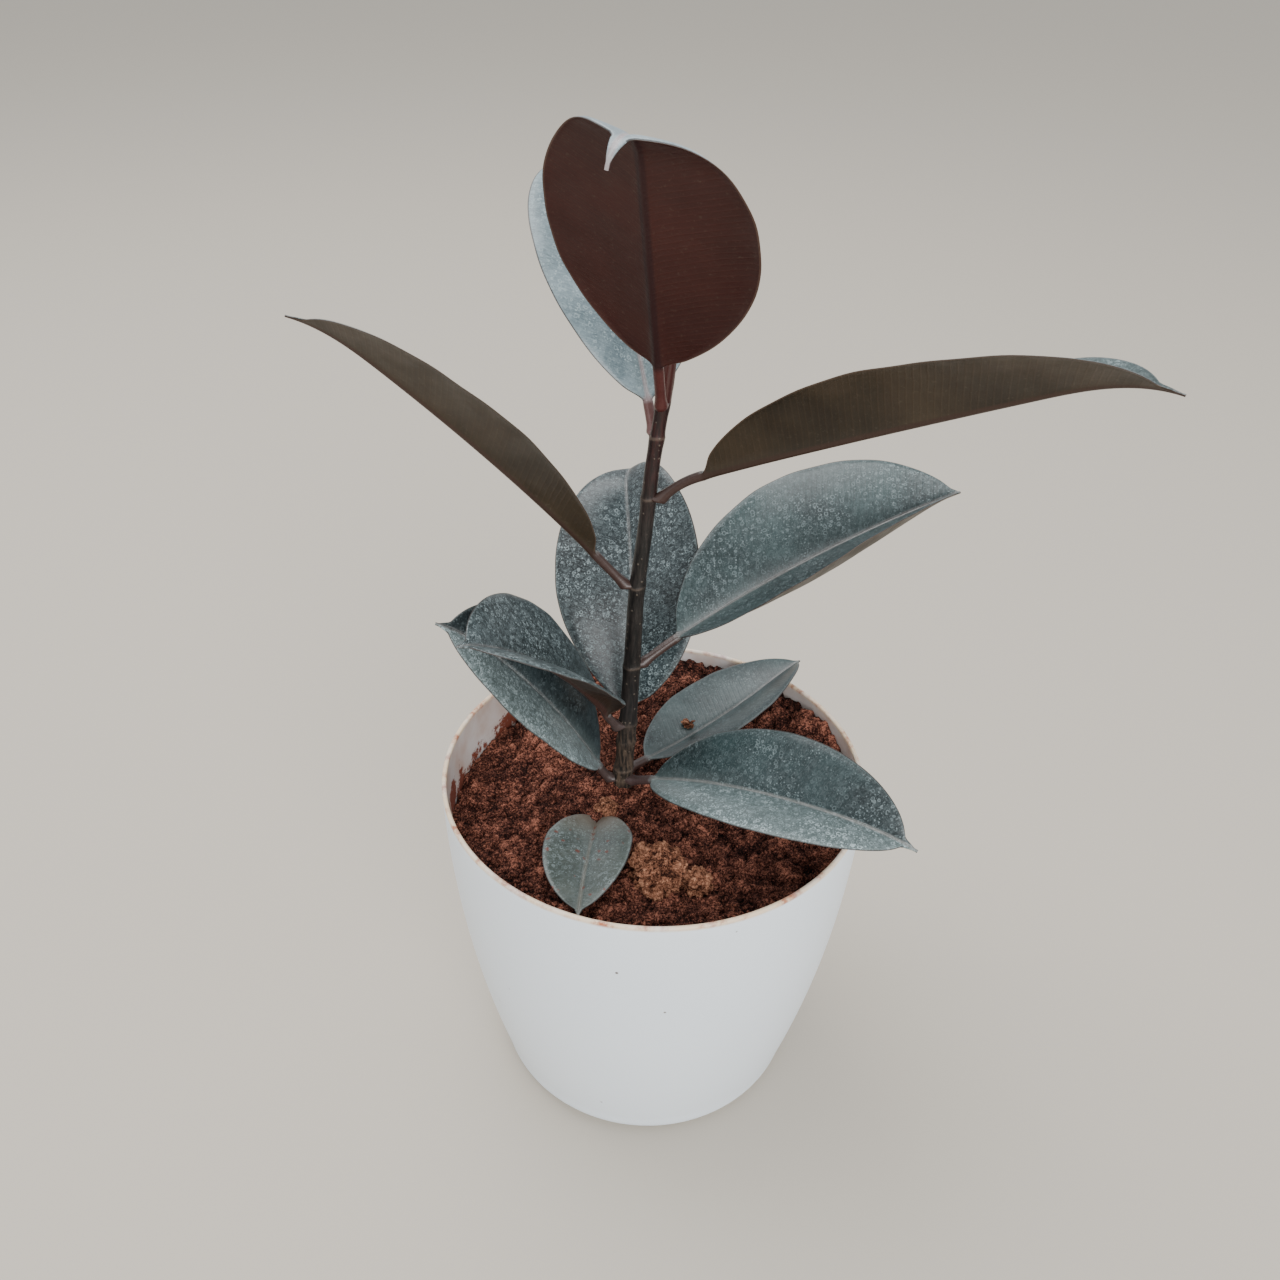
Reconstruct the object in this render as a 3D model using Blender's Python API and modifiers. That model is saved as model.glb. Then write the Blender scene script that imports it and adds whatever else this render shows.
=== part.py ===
"""Potted rubber plant: a tapered plastic pot of soil, an upright stem, eleven grown leaves,
a terminal bud sheath and loose clods of soil.

Metres, +Z up. The origin is the centre of the pot's underside. +X runs towards the longest
leaf on the right and -Y towards the viewer.
"""
import math

import bmesh
import bpy
from mathutils import Matrix, Vector, noise

# ---- driving dimensions -------------------------------------------------------------------
GAP = 0.0003                # clearance between pieces that touch

POT_HEIGHT = 0.180
POT_RIM_RADIUS = 0.100      # outside, at the lip
POT_BASE_RADIUS = 0.0749    # outside, where the side would meet the ground without its fillet
POT_BULGE = 0.0238          # how far the side bows out between rim and base
POT_WALL = 0.0022
POT_FLOOR = 0.0030
POT_FOOT_FILLET = 0.011
FOOT_RING_WIDTH = 0.007
FOOT_RECESS = 0.0012        # depth of the ring-shaped relief under the base
CENTRE_PAD_RADIUS = 0.022   # flat pad in the middle of the underside
ROUND_STEPS = 60            # sides of the pot and of the soil that fills it
WALL_STEPS = 7              # rows of the pot's side, inside and outside

HEADSPACE = 0.0145          # from the lip down to the mean height of the soil's top
SOIL_LEVEL = POT_HEIGHT - HEADSPACE
SOIL_LEFT_DIP = 0.014       # how much lower it lies by the left wall
SOIL_REAR_RISE = 0.009      # how much higher it lies by the rear and right wall
SOIL_MOUND = 0.0015         # rise around the stem
MOUND_WIDTH = 0.03
SOIL_ROUGHNESS = 0.0022
SOIL_LUMPS = ((55, 1.0), (130, 0.5))    # lumps a metre, and their share of the roughness
SOIL_RINGS = 11
SOIL_WALL_STEPS = 5

STEM_BURIED = 0.045         # length of stem under the soil
STEM_BASE_RADIUS = 0.0046
STEM_TOP_RADIUS = 0.0028
STEM_TAPER = 0.8            # below 1 it thins faster near the soil
STEM_DEPTH = 0.004          # the stem stands this far behind the pot's axis
STEM_HEIGHT = 0.200         # above the soil
STEM_TOP = SOIL_LEVEL + STEM_HEIGHT
# lean of the stem: share of its height above the soil, and offset to the right of the pot's axis
STEM_LINE = ((-0.2275, -0.0150), (-0.0025, -0.0150), (0.2025, -0.0126), (0.3775, -0.0112),
             (0.5475, -0.0102), (0.7075, -0.0070), (0.8575, -0.0048), (1.0, -0.0012))
STEM_SECTION = 0.018        # length of its straight sections

BUD_LENGTH = 0.040
BUD_RADIUS = 0.0026
BUD_LEAN = 6.0
BUD_STEPS = 7
BUD_SIDES = 12
BUD_FULLNESS = 0.8          # below 1 the sheath stays full towards its point

BLADE_THICKNESS = 0.0008
MIDRIB_RADIUS = 0.0013      # at the blade's base; it fades towards the tip
PETIOLE_RADIUS = 0.0021
BLADE_STATIONS = 20
PETIOLE_STATIONS = 4

# One entry for each leaf. up: where its petiole meets the stem, as a share of the stem's height.
# heading: compass angle of the petiole, 0 to the right and 90 to the rear. rise: its slope. The
# other angles turn the leaf along its length: petiole_bend and roll over the petiole; arch, sweep
# and twist over the blade; tip_curl over its last part. fold is the slope of the left and the right
# half from the midrib. What an entry leaves out is as in USUAL_LEAF.
LEAVES = {
    "leaf_top_front": dict(up=0.9975, heading=-100, rise=68, petiole=0.022, petiole_bend=5,
                           length=0.125, width=0.078, arch=1, tip_curl=150, sweep=1, roll=-11,
                           twist=-7, fold=(5, 5), curl_start=0.714, widest=0.49, drip_tip=0.092),
    "leaf_top_back": dict(up=0.9225, heading=110, rise=57, petiole=0.012, petiole_bend=3,
                          length=0.130, width=0.071, arch=39, tip_curl=10, sweep=-2, roll=-1,
                          twist=-2, fold=(15, 15)),
    "leaf_left_long": dict(up=0.5725, heading=182, rise=50, petiole=0.020, petiole_bend=1,
                           length=0.155, width=0.062, arch=8, tip_curl=22, sweep=-9, roll=39,
                           twist=-17, fold=(23, 23)),
    "leaf_right_long": dict(up=0.7875, heading=-17, rise=53, petiole=0.023, petiole_bend=27,
                            length=0.180, width=0.068, arch=2, tip_curl=32, sweep=4, roll=-48,
                            twist=28, fold=(29, 29)),
    "leaf_right_middle": dict(up=0.3575, heading=20, rise=37, petiole=0.019, petiole_bend=7,
                              length=0.142, width=0.083, arch=8, tip_curl=1, sweep=-12, roll=10,
                              twist=-18, fold=(32, 34), bow=(0.05, -0.13), drip_tip=0.02),
    "leaf_rear": dict(up=0.1375, heading=84, rise=62, petiole=0.012, petiole_bend=-1,
                      length=0.125, width=0.073, arch=26, tip_curl=62, sweep=17, roll=-1,
                      twist=-16, fold=(16, 16), drip_tip=0.02),
    "leaf_left_upper": dict(up=0.1925, heading=218, rise=57, petiole=0.012, petiole_bend=-3,
                            length=0.107, width=0.065, arch=28, tip_curl=13, sweep=12, roll=-11,
                            twist=-2, fold=(27, 21), flare=(16, 0), lip=(0.24, 0)),
    "leaf_left_lower": dict(up=0.0225, heading=191, rise=49, petiole=0.010, petiole_bend=-17,
                            length=0.121, width=0.063, arch=17, tip_curl=23, sweep=13, roll=-16,
                            twist=-11, fold=(19, 19)),
    "leaf_right_rear": dict(up=0.0375, heading=41, rise=2, petiole=0.009, petiole_bend=5,
                            length=0.104, width=0.057, arch=-24, tip_curl=12, sweep=-9, roll=-7,
                            twist=-15, fold=(18, 18), drip_tip=0.02),
    "leaf_right_front": dict(up=0.0275, heading=-41, rise=32, petiole=0.015, petiole_bend=-1,
                             length=0.138, width=0.057, arch=37, tip_curl=19, sweep=-3, roll=21,
                             twist=4, fold=(29, 29)),
}
# curl_start: share of the blade's length where the tip starts to curl. widest: share at which it is
# widest. drip_tip: share taken by the narrow pointed tip. bow: how far each half bulges up, as a
# share of its width. flare and lip: more fold and more bow of each half near the base only.
USUAL_LEAF = dict(curl_start=0.75, widest=0.50, drip_tip=0.045, bow=(0.04, 0.04), flare=(0, 0),
                  lip=(0, 0))
BASE_REACH = (0.02, 0.30)   # shares of the length between which flare and lip fade out
BASE_POWERS = (1.9, 0.75)   # roundness of the outline from the base to the widest place
TIP_POWERS = (2.3, 0.66)    # and from there to the drip tip
TIP_WIDTH = 0.16            # half width where the drip tip starts, as a share of the largest
TIP_BLEND = 4               # the higher, the sharper the corner between blade and drip tip
TIP_HALF_WIDTH = 0.0006
RIB_FADE = 0.7
PETIOLE_FADE = 0.035        # share of the blade over which the round petiole flattens
MARGIN_THICKNESS = 0.35     # of the blade's thickness, left at its margin
BLADE_SPANS = (1.0, 0.62, 0.25, 0.0, -0.25, -0.62, -1.0)    # from the left margin to the right
YOUNG_LEAVES = ("leaf_top_front",)

# Small leaf that leans on the soil at the front and whose stalk joins the stem under the soil.
# It fills a share of the way from its start to the pot's front wall.
BURIED_LEAF = dict(heading=-97, rise=16, petiole=0.002, petiole_bend=0, arch=24, tip_curl=8, sweep=2,
                   roll=2, twist=4, fold=(20, 20), flare=(14, 14), widest=0.42)
BURIED_LEAF_LEFT = 0.0104   # its start, left of the stem
BURIED_LEAF_AHEAD = 0.0215  # and in front of the stem
BURIED_LEAF_DEPTH = 0.0023  # and below the mean height of the soil
BURIED_LEAF_LENGTH = 0.81   # share of the way to the front wall
BURIED_LEAF_WIDTH = 0.650   # share of its length
HOLE_LIFT = 0.012           # how far above the leaf its hole in the soil is cut

# name: centre and half sizes, as shares of the soil's radius, and the seed of its shape
CLODS = {
    "soil_clod_large": ((0.018, -0.575), (0.136, 0.118, 0.090), 3),
    "soil_clod_small": ((0.205, -0.600), (0.056, 0.062, 0.050), 7),
    "soil_clod_stem": ((-0.225, -0.128), (0.053, 0.043, 0.036), 11),
}
CLOD_SUBDIVISIONS = 2
CLOD_LUMPINESS = 0.28
CLOD_LUMPS = 1.7            # lumps across the half size
CLOD_SUNK = 0.35            # share of a clod's height that lies in the soil


# ---- helpers ------------------------------------------------------------------------------
def clear_scene():
    for obj in list(bpy.data.objects):
        bpy.data.objects.remove(obj, do_unlink=True)


def new_collection(name):
    collection = bpy.data.collections.new(name)
    bpy.context.scene.collection.children.link(collection)
    return collection


def material(name, colour, roughness, metallic=0.0):
    made = bpy.data.materials.new(name)
    made.use_nodes = True
    shader = made.node_tree.nodes["Principled BSDF"]
    shader.inputs["Base Color"].default_value = (*colour, 1.0)
    shader.inputs["Roughness"].default_value = roughness
    shader.inputs["Metallic"].default_value = metallic
    made.diffuse_color = (*colour, 1.0)
    return made


def add_object(name, data, collection, surface=None):
    obj = bpy.data.objects.new(name, data)
    collection.objects.link(obj)
    if surface:
        data.materials.append(surface)
    return obj


def mesh_from(name, points, faces):
    """A closed mesh with its faces turned outwards and shaded smooth."""
    mesh = bpy.data.meshes.new(name)
    mesh.from_pydata([tuple(point) for point in points], [], faces)
    working = bmesh.new()
    working.from_mesh(mesh)
    bmesh.ops.recalc_face_normals(working, faces=working.faces)
    working.to_mesh(mesh)
    working.free()
    mesh.shade_smooth()
    return mesh


def turned(name, profile, steps, collection, surface=None):
    """A body of revolution about Z from (radius, height) points that start and end on the axis."""
    mesh = bpy.data.meshes.new(name)
    mesh.from_pydata([(r, 0.0, z) for r, z in profile], [(i, i + 1) for i in range(len(profile) - 1)], [])
    obj = add_object(name, mesh, collection, surface)
    screw = obj.modifiers.new("Screw", "SCREW")
    screw.axis = "Z"
    screw.steps = screw.render_steps = steps
    screw.use_merge_vertices = True
    screw.merge_threshold = 0.00001
    screw.use_smooth_shade = True
    return obj


def arc(centre, radius, start, end, steps):
    """Points round a corner of a profile, angles in degrees from +X."""
    angles = [math.radians(start + (end - start) * i / steps) for i in range(steps + 1)]
    return [(centre[0] + radius * math.cos(a), centre[1] + radius * math.sin(a)) for a in angles]


# ---- pot ----------------------------------------------------------------------------------
def pot_radius(z):
    """Outside radius of the pot's side at a height."""
    down = 1 - z / POT_HEIGHT
    return POT_RIM_RADIUS + (POT_BASE_RADIUS - POT_RIM_RADIUS) * down + POT_BULGE * down * (1 - down)


def pot_inner_radius(z):
    return pot_radius(z) - POT_WALL


def make_pot(collection, surface):
    lip = POT_WALL / 2
    floor_fillet = POT_FOOT_FILLET - POT_WALL
    side_start = POT_HEIGHT - lip
    foot = pot_radius(POT_FOOT_FILLET)
    ring_inside = foot - POT_FOOT_FILLET - FOOT_RING_WIDTH
    profile = [(0.0, POT_FLOOR)]
    inner = foot - POT_WALL - floor_fillet
    profile += arc((inner, POT_FLOOR + floor_fillet), floor_fillet, -90, -8, 3)
    low = POT_FLOOR + floor_fillet
    profile += [(pot_inner_radius(z), z) for z in
                (low + (side_start - low) * i / WALL_STEPS for i in range(1, WALL_STEPS + 1))]
    profile += arc((pot_radius(side_start) - lip, side_start), lip, 150, 30, 3)
    side = POT_FOOT_FILLET - side_start
    profile += [(pot_radius(z), z) for z in
                (side_start + side * i / WALL_STEPS for i in range(WALL_STEPS + 1))]
    profile += arc((foot - POT_FOOT_FILLET, POT_FOOT_FILLET), POT_FOOT_FILLET, -18, -90, 4)
    profile += [(ring_inside, 0.0), (ring_inside - FOOT_RECESS, FOOT_RECESS),
                (CENTRE_PAD_RADIUS + FOOT_RECESS, FOOT_RECESS), (CENTRE_PAD_RADIUS, 0.0), (0.0, 0.0)]
    return turned("pot", profile, ROUND_STEPS, collection, surface)


# ---- stem ---------------------------------------------------------------------------------
def stem_offset(z):
    """How far right of the pot's axis the stem is at a height."""
    share = (z - SOIL_LEVEL) / STEM_HEIGHT
    for (share0, x0), (share1, x1) in zip(STEM_LINE, STEM_LINE[1:]):
        if share <= share1:
            break
    return x0 + (x1 - x0) * (share - share0) / (share1 - share0)


def stem_point(z):
    return Vector((stem_offset(z), STEM_DEPTH, z))


def stem_radius(z):
    share = min(max((z - SOIL_LEVEL) / STEM_HEIGHT, 0.0), 1.0)
    return STEM_BASE_RADIUS + (STEM_TOP_RADIUS - STEM_BASE_RADIUS) * share ** STEM_TAPER


def stem_curve(name, low, high, extra):
    """A tube along the stem between two heights, extra wider than the stem."""
    curve = bpy.data.curves.new(name, "CURVE")
    curve.dimensions = "3D"
    curve.bevel_depth = 1.0
    curve.bevel_resolution = 3
    curve.use_fill_caps = True
    count = 2 + round((high - low) / STEM_SECTION)
    spline = curve.splines.new("POLY")
    spline.points.add(count - 1)
    for i, point in enumerate(spline.points):
        z = low + (high - low) * i / (count - 1)
        point.co = (*stem_point(z), 1.0)
        point.radius = stem_radius(z) + extra
    return curve


def mesh_of(curve_object, collection):
    """A mesh object in place of a curve, with its caps sewn on."""
    graph = bpy.context.evaluated_depsgraph_get()
    mesh = bpy.data.meshes.new_from_object(curve_object.evaluated_get(graph))
    sewn = bmesh.new()
    sewn.from_mesh(mesh)
    bmesh.ops.remove_doubles(sewn, verts=sewn.verts, dist=0.000001)
    sewn.to_mesh(mesh)
    sewn.free()
    name = curve_object.name
    matrix = curve_object.matrix_world.copy()
    bpy.data.objects.remove(curve_object, do_unlink=True)
    obj = add_object(name, mesh, collection)
    obj.matrix_world = matrix
    return obj


def make_stem(collection, surface):
    low = SOIL_LEVEL - STEM_BURIED
    return add_object("stem", stem_curve("stem", low, STEM_TOP, 0.0), collection, surface)


def make_bud(collection, surface):
    """Pointed sheath round the growing tip, standing on the stem's end."""
    start = stem_point(STEM_TOP)
    profile = [(0.0, BUD_LENGTH)]
    for i in range(1, BUD_STEPS + 1):
        share = i / BUD_STEPS
        width = math.sin(share * math.pi / 2) ** BUD_FULLNESS
        profile.append((BUD_RADIUS * width, BUD_LENGTH * (1 - share)))
    profile.append((0.0, 0.0))
    bud = turned("terminal_bud_sheath", profile, BUD_SIDES, collection, surface)
    bud.location = start + Vector((0, 0, GAP + STEM_TOP_RADIUS * math.sin(math.radians(BUD_LEAN))))
    bud.rotation_euler = (0, math.radians(BUD_LEAN), 0)
    return bud


# ---- leaves -------------------------------------------------------------------------------
def smooth_step(value, low, high):
    share = min(max((value - low) / (high - low), 0.0), 1.0)
    return share * share * (3 - 2 * share)


def blade_outline(leaf, share):
    """Half width of a blade as a share of its largest, along its length from 0 to 1."""
    shoulder = 1 - leaf["drip_tip"]
    widest = leaf["widest"]
    if share < widest:
        return (1 - (1 - share / widest) ** BASE_POWERS[0]) ** BASE_POWERS[1]
    past = min((share - widest) / (shoulder - widest), 1.0)
    body = (1 - past ** TIP_POWERS[0]) ** TIP_POWERS[1]
    tip = TIP_WIDTH * min((1 - share) / (2 * leaf["drip_tip"]), 1.0)
    return (body ** TIP_BLEND + tip ** TIP_BLEND) ** (1 / TIP_BLEND)


def turn(frame, axis, degrees):
    return frame @ Matrix.Rotation(math.radians(degrees), 3, axis)


def leaf_frames(leaf, start):
    """(point, frame, share) along a leaf. share is below 0 on the petiole and 0 to 1 on the blade.

    A frame's columns are the way the leaf runs, its left side and its upper side.
    """
    heading, rise = math.radians(leaf["heading"]), math.radians(leaf["rise"])
    ahead = Vector((math.cos(heading) * math.cos(rise), math.sin(heading) * math.cos(rise),
                    math.sin(rise)))
    left = Vector((-math.sin(heading), math.cos(heading), 0.0))
    frame = Matrix((ahead, left, ahead.cross(left))).transposed()
    point = start.copy()
    found = [(point.copy(), frame.copy(), -1.0)]
    for i in range(PETIOLE_STATIONS):
        frame = turn(frame, "Y", leaf["petiole_bend"] / PETIOLE_STATIONS)
        frame = turn(frame, "X", leaf["roll"] / PETIOLE_STATIONS)
        point += frame.col[0] * leaf["petiole"] / PETIOLE_STATIONS
        found.append((point.copy(), frame.copy(), (i + 1) / PETIOLE_STATIONS - 1))
    # short steps where the outline changes fast, near the base and the tip
    shares = [(1 - math.cos(math.pi * i / BLADE_STATIONS)) / 2 for i in range(BLADE_STATIONS + 1)]
    for start_share, end_share in zip(shares, shares[1:]):
        step = end_share - start_share
        past = max((start_share + end_share) / 2 - leaf["curl_start"], 0.0)
        curl = leaf["tip_curl"] * past * 2 / (1 - leaf["curl_start"]) ** 2
        frame = turn(frame, "Y", (leaf["arch"] + curl) * step)
        frame = turn(frame, "Z", leaf["sweep"] * step)
        frame = turn(frame, "X", leaf["twist"] * step)
        point += frame.col[0] * leaf["length"] * step
        found.append((point.copy(), frame.copy(), end_share))
    return found


def blade_point(leaf, share, half, span):
    """(offset, direction) of the blade's middle surface and its upward normal, span from left to right."""
    side = 0 if span > 0 else 1
    near_base = 1 - smooth_step(share, *BASE_REACH)
    slope = math.radians(leaf["fold"][side] + leaf["flare"][side] * near_base)
    bow = leaf["bow"][side] * 4 * share * (1 - share) + leaf["lip"][side] * near_base
    out = abs(span)
    along = Vector((math.cos(slope), math.sin(slope)))
    across = Vector((-math.sin(slope), math.cos(slope)))
    offset = along * half * out + across * half * bow * 4 * out * (1 - out)
    run = along + across * bow * 4 * (1 - 2 * out)
    away = Vector((-run.y, run.x)).normalized()
    if span == 0:
        away = Vector((0.0, 1.0))
    mirror = Vector((1 if span >= 0 else -1, 1))
    return offset * mirror, away * mirror


def leaf_section(leaf, frame, share, grow, lift):
    """One closed ring round a leaf, counted from its left margin over the top to the right.

    The petiole is round, and the ring flattens into the folded blade at its base.
    grow widens it all round and lift raises its upper side, both for cutters.
    """
    stalk = PETIOLE_RADIUS + grow
    share = max(share, 0.0)
    half = max(leaf["width"] / 2 * blade_outline(leaf, share), TIP_HALF_WIDTH) + grow
    thick = BLADE_THICKNESS / 2
    rib = thick + MIDRIB_RADIUS * (1 - share) ** RIB_FADE
    blend = min(share / PETIOLE_FADE, 1.0)
    top = []
    bottom = []
    for span in BLADE_SPANS:
        middle, away = blade_point(leaf, share, half, span)
        here = thick * MARGIN_THICKNESS if abs(span) == 1 else thick
        top.append(middle + away * (here + grow) + Vector((0.0, lift)))
        bottom.append(middle - away * ((rib if span == 0 else here) + grow))
    flat = top + bottom[::-1]
    count = len(flat)
    section = []
    for i, corner in enumerate(flat):
        angle = math.pi * (i + 0.5) * 2 / count
        circle = Vector((stalk * math.cos(angle), stalk * math.sin(angle)))
        mixed = circle.lerp(corner, blend)
        section.append(frame.col[1] * mixed.x + frame.col[2] * mixed.y)
    return section


def leaf_start(leaf):
    """Where a petiole starts, clear of the stem."""
    height = SOIL_LEVEL + STEM_HEIGHT * leaf["up"]
    heading = math.radians(leaf["heading"])
    clear = PETIOLE_RADIUS * math.sin(math.radians(leaf["rise"])) + GAP
    reach = stem_radius(height) + clear
    return stem_point(height) + reach * Vector((math.cos(heading), math.sin(heading), 0))


def make_leaf(name, leaf, start, collection, surface=None, grow=0.0, lift=0.0):
    """Petiole and blade as one loft, from a round stalk to a thin folded blade."""
    leaf = {**USUAL_LEAF, **leaf}
    rings = []
    for point, frame, share in leaf_frames(leaf, start):
        raised = lift if share > 0 else 0.0
        past_end = {-1.0: -grow, 1.0: grow}.get(share, 0.0)
        centre = point + frame.col[0] * past_end
        rings.append([centre + corner for corner in leaf_section(leaf, frame, share, grow, raised)])
    return add_object(name, loft(name, rings), collection, surface)


def loft(name, rings):
    """A closed skin over rings of equally many points, with a flat cap at each end."""
    count = len(rings[0])
    faces = [tuple(range(count)), tuple(range((len(rings) - 1) * count, len(rings) * count))]
    for row in range(len(rings) - 1):
        for i in range(count):
            a, b = row * count + i, row * count + (i + 1) % count
            faces.append((a, b, b + count, a + count))
    return mesh_from(name, [point for ring in rings for point in ring], faces)


# ---- soil ---------------------------------------------------------------------------------
def soil_height(x, y):
    """Height of the soil's top: low by the left wall, heaped by the stem, and lumpy."""
    across = x / POT_RIM_RADIUS
    dip = SOIL_LEFT_DIP * smooth_step(-across, 0.35, 0.95) * smooth_step(y / POT_RIM_RADIUS, -0.9, 0.1)
    towards_rear = (0.5 * x + 0.87 * y) / POT_RIM_RADIUS
    rise = SOIL_REAR_RISE * smooth_step(towards_rear, 0.15, 0.95)
    from_stem = math.hypot(x - stem_offset(SOIL_LEVEL), y - STEM_DEPTH)
    mound = SOIL_MOUND * math.exp(-(from_stem / MOUND_WIDTH) ** 2)
    lumps = sum(share * noise.noise(Vector((x, y, 1 - share)) * scale) for scale, share in SOIL_LUMPS)
    return SOIL_LEVEL - dip + rise + mound + SOIL_ROUGHNESS * lumps


def make_soil(collection, surface):
    """A turned body that fills the pot, whose top is then raised and lowered point by point."""
    low = POT_FLOOR + GAP
    fillet = POT_FOOT_FILLET - POT_WALL
    edge = pot_inner_radius(SOIL_LEVEL) - GAP
    profile = [(edge * i / SOIL_RINGS, SOIL_LEVEL) for i in range(SOIL_RINGS + 1)]
    base = low + fillet
    top_wall = SOIL_LEVEL - SOIL_LEFT_DIP - 4 * SOIL_ROUGHNESS
    profile += [(pot_inner_radius(z) - GAP, z) for z in
                (top_wall + (base - top_wall) * i / SOIL_WALL_STEPS for i in range(SOIL_WALL_STEPS + 1))]
    inner = pot_inner_radius(POT_FOOT_FILLET) - fillet
    profile += arc((inner, base), fillet - GAP, -20, -90, 3)
    profile += [(0.0, profile[-1][1])]
    turned_soil = turned("soil", profile, ROUND_STEPS, collection)
    graph = bpy.context.evaluated_depsgraph_get()
    mesh = bpy.data.meshes.new_from_object(turned_soil.evaluated_get(graph))
    bpy.data.objects.remove(turned_soil, do_unlink=True)
    for vertex in mesh.vertices:
        x, y, z = vertex.co
        if z > SOIL_LEVEL - GAP:
            height = soil_height(x, y)
            shrink = (pot_inner_radius(height) - GAP) / edge
            vertex.co = (x * shrink, y * shrink, height)
    mesh.shade_smooth()
    return add_object("soil", mesh, collection, surface)


def make_clod(name, clod, collection, surface=None, grow=0.0):
    """A crumbly lump: a ball with noise, sunk a little into the soil."""
    soil_radius = pot_inner_radius(SOIL_LEVEL)
    place, size, seed = clod
    place = [share * soil_radius for share in place]
    size = [share * soil_radius for share in size]
    mesh = bpy.data.meshes.new(name)
    ball = bmesh.new()
    bmesh.ops.create_icosphere(ball, subdivisions=CLOD_SUBDIVISIONS, radius=1.0)
    centre = Vector((*place, soil_height(*place) + size[2] * (1 - 2 * CLOD_SUNK)))
    for vertex in ball.verts:
        lump = 1 + CLOD_LUMPINESS * noise.noise(vertex.co * CLOD_LUMPS + Vector((seed, 0, 0)))
        vertex.co = centre + Vector([lump * side * width + side * grow
                                     for side, width in zip(vertex.co, size)])
    ball.to_mesh(mesh)
    ball.free()
    mesh.shade_smooth()
    return add_object(name, mesh, collection, surface)


def cut(obj, cutter):
    modifier = obj.modifiers.new("Cut " + cutter.name, "BOOLEAN")
    modifier.operation = "DIFFERENCE"
    modifier.solver = "EXACT"
    modifier.object = cutter
    cutter.hide_render = True
    cutter.display_type = "WIRE"


# ---- the plant ----------------------------------------------------------------------------
def main():
    clear_scene()
    plant = new_collection("potted_rubber_plant")
    cutters = new_collection("cutters")
    blade = material("leaf_upper", (0.055, 0.075, 0.075), 0.38)
    young = material("leaf_young", (0.060, 0.022, 0.018), 0.40)
    bark = material("stem_bark", (0.075, 0.055, 0.040), 0.60)
    sheath = material("bud_sheath", (0.180, 0.045, 0.030), 0.40)
    plastic = material("pot_plastic", (0.640, 0.680, 0.720), 0.35)
    earth = material("soil", (0.150, 0.045, 0.022), 0.95)
    lump = material("soil_clod", (0.230, 0.075, 0.035), 0.95)

    make_pot(plant, plastic)
    make_stem(plant, bark)
    make_bud(plant, sheath)
    for name, leaf in LEAVES.items():
        make_leaf(name, leaf, leaf_start(leaf), plant, young if name in YOUNG_LEAVES else blade)
    start = Vector((stem_offset(SOIL_LEVEL) - BURIED_LEAF_LEFT, STEM_DEPTH - BURIED_LEAF_AHEAD,
                    SOIL_LEVEL - BURIED_LEAF_DEPTH))
    length = BURIED_LEAF_LENGTH * (pot_inner_radius(SOIL_LEVEL) + start.y)
    buried = dict(BURIED_LEAF, length=length, width=BURIED_LEAF_WIDTH * length)
    make_leaf("leaf_buried_front", buried, start, plant, blade)
    for name, clod in CLODS.items():
        make_clod(name, clod, plant, lump)

    soil = make_soil(plant, earth)
    hole = add_object("stem_hole", stem_curve("stem_hole", SOIL_LEVEL - STEM_BURIED - GAP,
                                              SOIL_LEVEL + STEM_BURIED, GAP), cutters)
    cut(soil, mesh_of(hole, cutters))
    cut(soil, make_leaf("buried_leaf_hole", buried, start, cutters, None, GAP, HOLE_LIFT))
    for name, clod in CLODS.items():
        cut(soil, make_clod(name + "_hole", clod, cutters, None, GAP))


main()
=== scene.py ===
import math

import bmesh
import bpy
from mathutils import Matrix, Vector, noise


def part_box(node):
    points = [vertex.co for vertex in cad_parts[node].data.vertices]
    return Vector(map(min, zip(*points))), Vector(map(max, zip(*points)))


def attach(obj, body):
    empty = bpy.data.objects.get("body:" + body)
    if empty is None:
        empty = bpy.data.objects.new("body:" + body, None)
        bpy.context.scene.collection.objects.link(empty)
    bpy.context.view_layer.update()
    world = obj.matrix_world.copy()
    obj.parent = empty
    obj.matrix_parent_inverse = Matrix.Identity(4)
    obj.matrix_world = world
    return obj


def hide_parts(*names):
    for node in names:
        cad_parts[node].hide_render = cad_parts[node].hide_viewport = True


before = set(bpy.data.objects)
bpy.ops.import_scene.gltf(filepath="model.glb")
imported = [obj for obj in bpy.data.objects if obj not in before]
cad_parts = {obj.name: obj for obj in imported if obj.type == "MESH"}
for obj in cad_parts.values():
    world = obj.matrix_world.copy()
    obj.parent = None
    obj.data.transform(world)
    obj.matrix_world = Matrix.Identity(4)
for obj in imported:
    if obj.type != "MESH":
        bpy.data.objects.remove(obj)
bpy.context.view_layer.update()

potLow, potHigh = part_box("pot")
potHeight = potHigh.z
rimRadius = potHigh.x
print("frame loaded:", len(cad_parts), "nodes")


def tint(r, g, b):                       # screen colour, 0 to 255, to the shader's own scale
    return tuple((c / 255 + 0.055) ** 2.4 / 1.055 ** 2.4 for c in (r, g, b)) + (1.0,)


def tints(colours):
    return [tint(*colour) for colour in colours]


def smoothStep(value, low, high):
    share = min(max((value - low) / (high - low), 0.0), 1.0)
    return share * share * (3 - 2 * share)


def bell(distance, width):               # 1 at no distance, fading to 0 over a few widths
    return math.exp(-(distance / width) ** 2)


def newPiece(name, points, faces, materials, nodes):
    # closed skin, shaded smooth, riding on the frame in place of its CAD nodes; each caller turns its faces
    # outwards
    mesh = bpy.data.meshes.new(name)
    mesh.from_pydata([tuple(p) for p in points], [], faces)
    for item in materials:
        mesh.materials.append(item)
    piece = bpy.data.objects.new(name, mesh)
    bpy.context.scene.collection.objects.link(piece)
    mesh.shade_smooth()
    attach(piece, "root")
    if nodes:
        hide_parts(*nodes)
    return piece


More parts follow.
